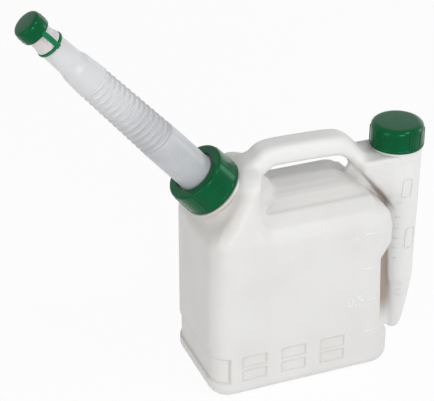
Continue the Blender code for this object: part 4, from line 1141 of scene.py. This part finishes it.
# Spout cap
# The small green cap on the tip has a row of crisp raised pads for the fingers and a smooth
# rounded top; it screws over the tip's thread and hangs on the tether when it is off.
SPOUT_CAP = (
    (0.0, 179.5, 0), (9.35, 179.5, 2.5), (9.85, 173.6, 1.0), (9.7, 169.5, 0.6),
    (8.7, 169.5, 0.2), (8.7, 178.2, 0.3), (0.0, 178.2, 0),
)
SPOUT_PAD = {
    "width": 2.2, "depth": 0.22, "low": 171.2, "high": 175.9, "low_radius": 9.68, "high_radius": 9.58,
    "rounding": 0.10, "sink": 0.6,
}
SPOUT_PADS = 12
SPOUT_FIRST_PAD = 4.0
tip_body = turned("spout_cap_shell", filleted(SPOUT_CAP, steps=5), ON_NECK, steps=72)
tip_mesh = with_grips("spout_cap_shell", tip_body, ON_NECK, SPOUT_PAD, SPOUT_PADS, SPOUT_FIRST_PAD)
finished("spout_cap_shell", tip_mesh, green, "tip_cap", "green_cap", "spout_cap")


# Tether
# A softer, lighter green moulding: a ring that snaps into the groove behind the nozzle's bead,
# and a short strap up to the cap, which stretches as the cap screws off.
TETHER_ANGLE = math.radians(-69.0)
TETHER_RING = (
    (7.7, 156.7, 0.2), (9.3, 156.7, 0.4), (9.3, 158.3, 0.4), (7.7, 158.3, 0.2),
)
STRAP_HALF_WIDTH = 1.6
STRAP_EDGE = 0.3
STRAP_ROUTE = (
    (9.0, 10.35, 156.75), (9.0, 10.45, 157.2), (9.0, 10.5, 159.6), (9.25, 10.45, 160.3), (9.45, 10.6, 162.0),
    (9.6, 10.7, 165.0), (9.4, 10.5, 167.6), (9.1, 10.2, 169.6), (9.1, 10.05, 171.2),
)
TETHER_GREEN = (0.008, 0.170, 0.066, 1)
TETHER_DEEP = (0.006, 0.140, 0.052, 1)
TETHER_PALE = (0.022, 0.230, 0.100, 1)


def tether_strap():
    """A flat strap along the spout: its inner and outer distance at each height."""
    shape = bmesh.new()
    rows = []
    half = STRAP_HALF_WIDTH
    flat = half - STRAP_EDGE
    for near, far, z in STRAP_ROUTE:
        bevel = far - STRAP_EDGE
        section = ((near, -half), (bevel, -half), (far, -flat), (far, flat), (bevel, half), (near, half))
        rows.append([shape.verts.new((x, y, z)) for x, y in section])
    for low, high in zip(rows, rows[1:]):
        for k in range(len(low)):
            after = (k + 1) % len(low)
            shape.faces.new((low[k], low[after], high[after], high[k]))
    shape.faces.new(rows[0])
    shape.faces.new(rows[-1])
    return closed_mesh("tether_strap_band", shape, ON_NECK @ Matrix.Rotation(TETHER_ANGLE, 4, "Z"))


tether_finish = moulded_green("soft_green", TETHER_GREEN, TETHER_DEEP, TETHER_PALE, 0.30)
tether_ring = turned("tether_loop", filleted(TETHER_RING, steps=3), ON_NECK, steps=72)
tether_mesh = one_mesh("cap_tether", tether_ring, tether_strap())
tether_mesh.set_sharp_from_angle(angle=SHARP_ANGLE)
cap_tether = finished("cap_tether", tether_mesh, tether_finish, None, "green_tether",
                      "tether_ring", "tether_strap")
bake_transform(cap_tether)


# Seals
# A black rubber ring lies under the spout's disc, and a disc of white foam in each cap. They
# keep the shape of their solids and get only their finish here.
RUBBER_BLACK = (0.022, 0.022, 0.023, 1)
RUBBER_DUSTY = (0.050, 0.050, 0.050, 1)
FOAM_WHITE = (0.74, 0.74, 0.72, 1)
FOAM_PORE = (0.60, 0.60, 0.58, 1)


def fine_grained(name, base, other, scale, roughness):
    """A matt finish of two tones in fine grains, which also roughen the surface."""
    material, shader, place = new_material(name)
    grains = place.noise(scale, 3.0)
    colour = grains.rise(0.40, 0.65).blend(base, other)
    feed(shader, Base_Color=colour, Roughness=roughness + 0.15 * grains, Normal=grains.bump(0.25, 0.0003))
    return material


rubber = fine_grained("seal_rubber", RUBBER_BLACK, RUBBER_DUSTY, 900.0, 0.62)
foam = fine_grained("liner_foam", FOAM_WHITE, FOAM_PORE, 1800.0, 0.70)
for node, finish in (("spout_gasket", rubber), ("spout_cap_liner", foam), ("measuring_cap_liner", foam)):
    for slot in bpy.data.objects[node].material_slots:
        slot.material = finish
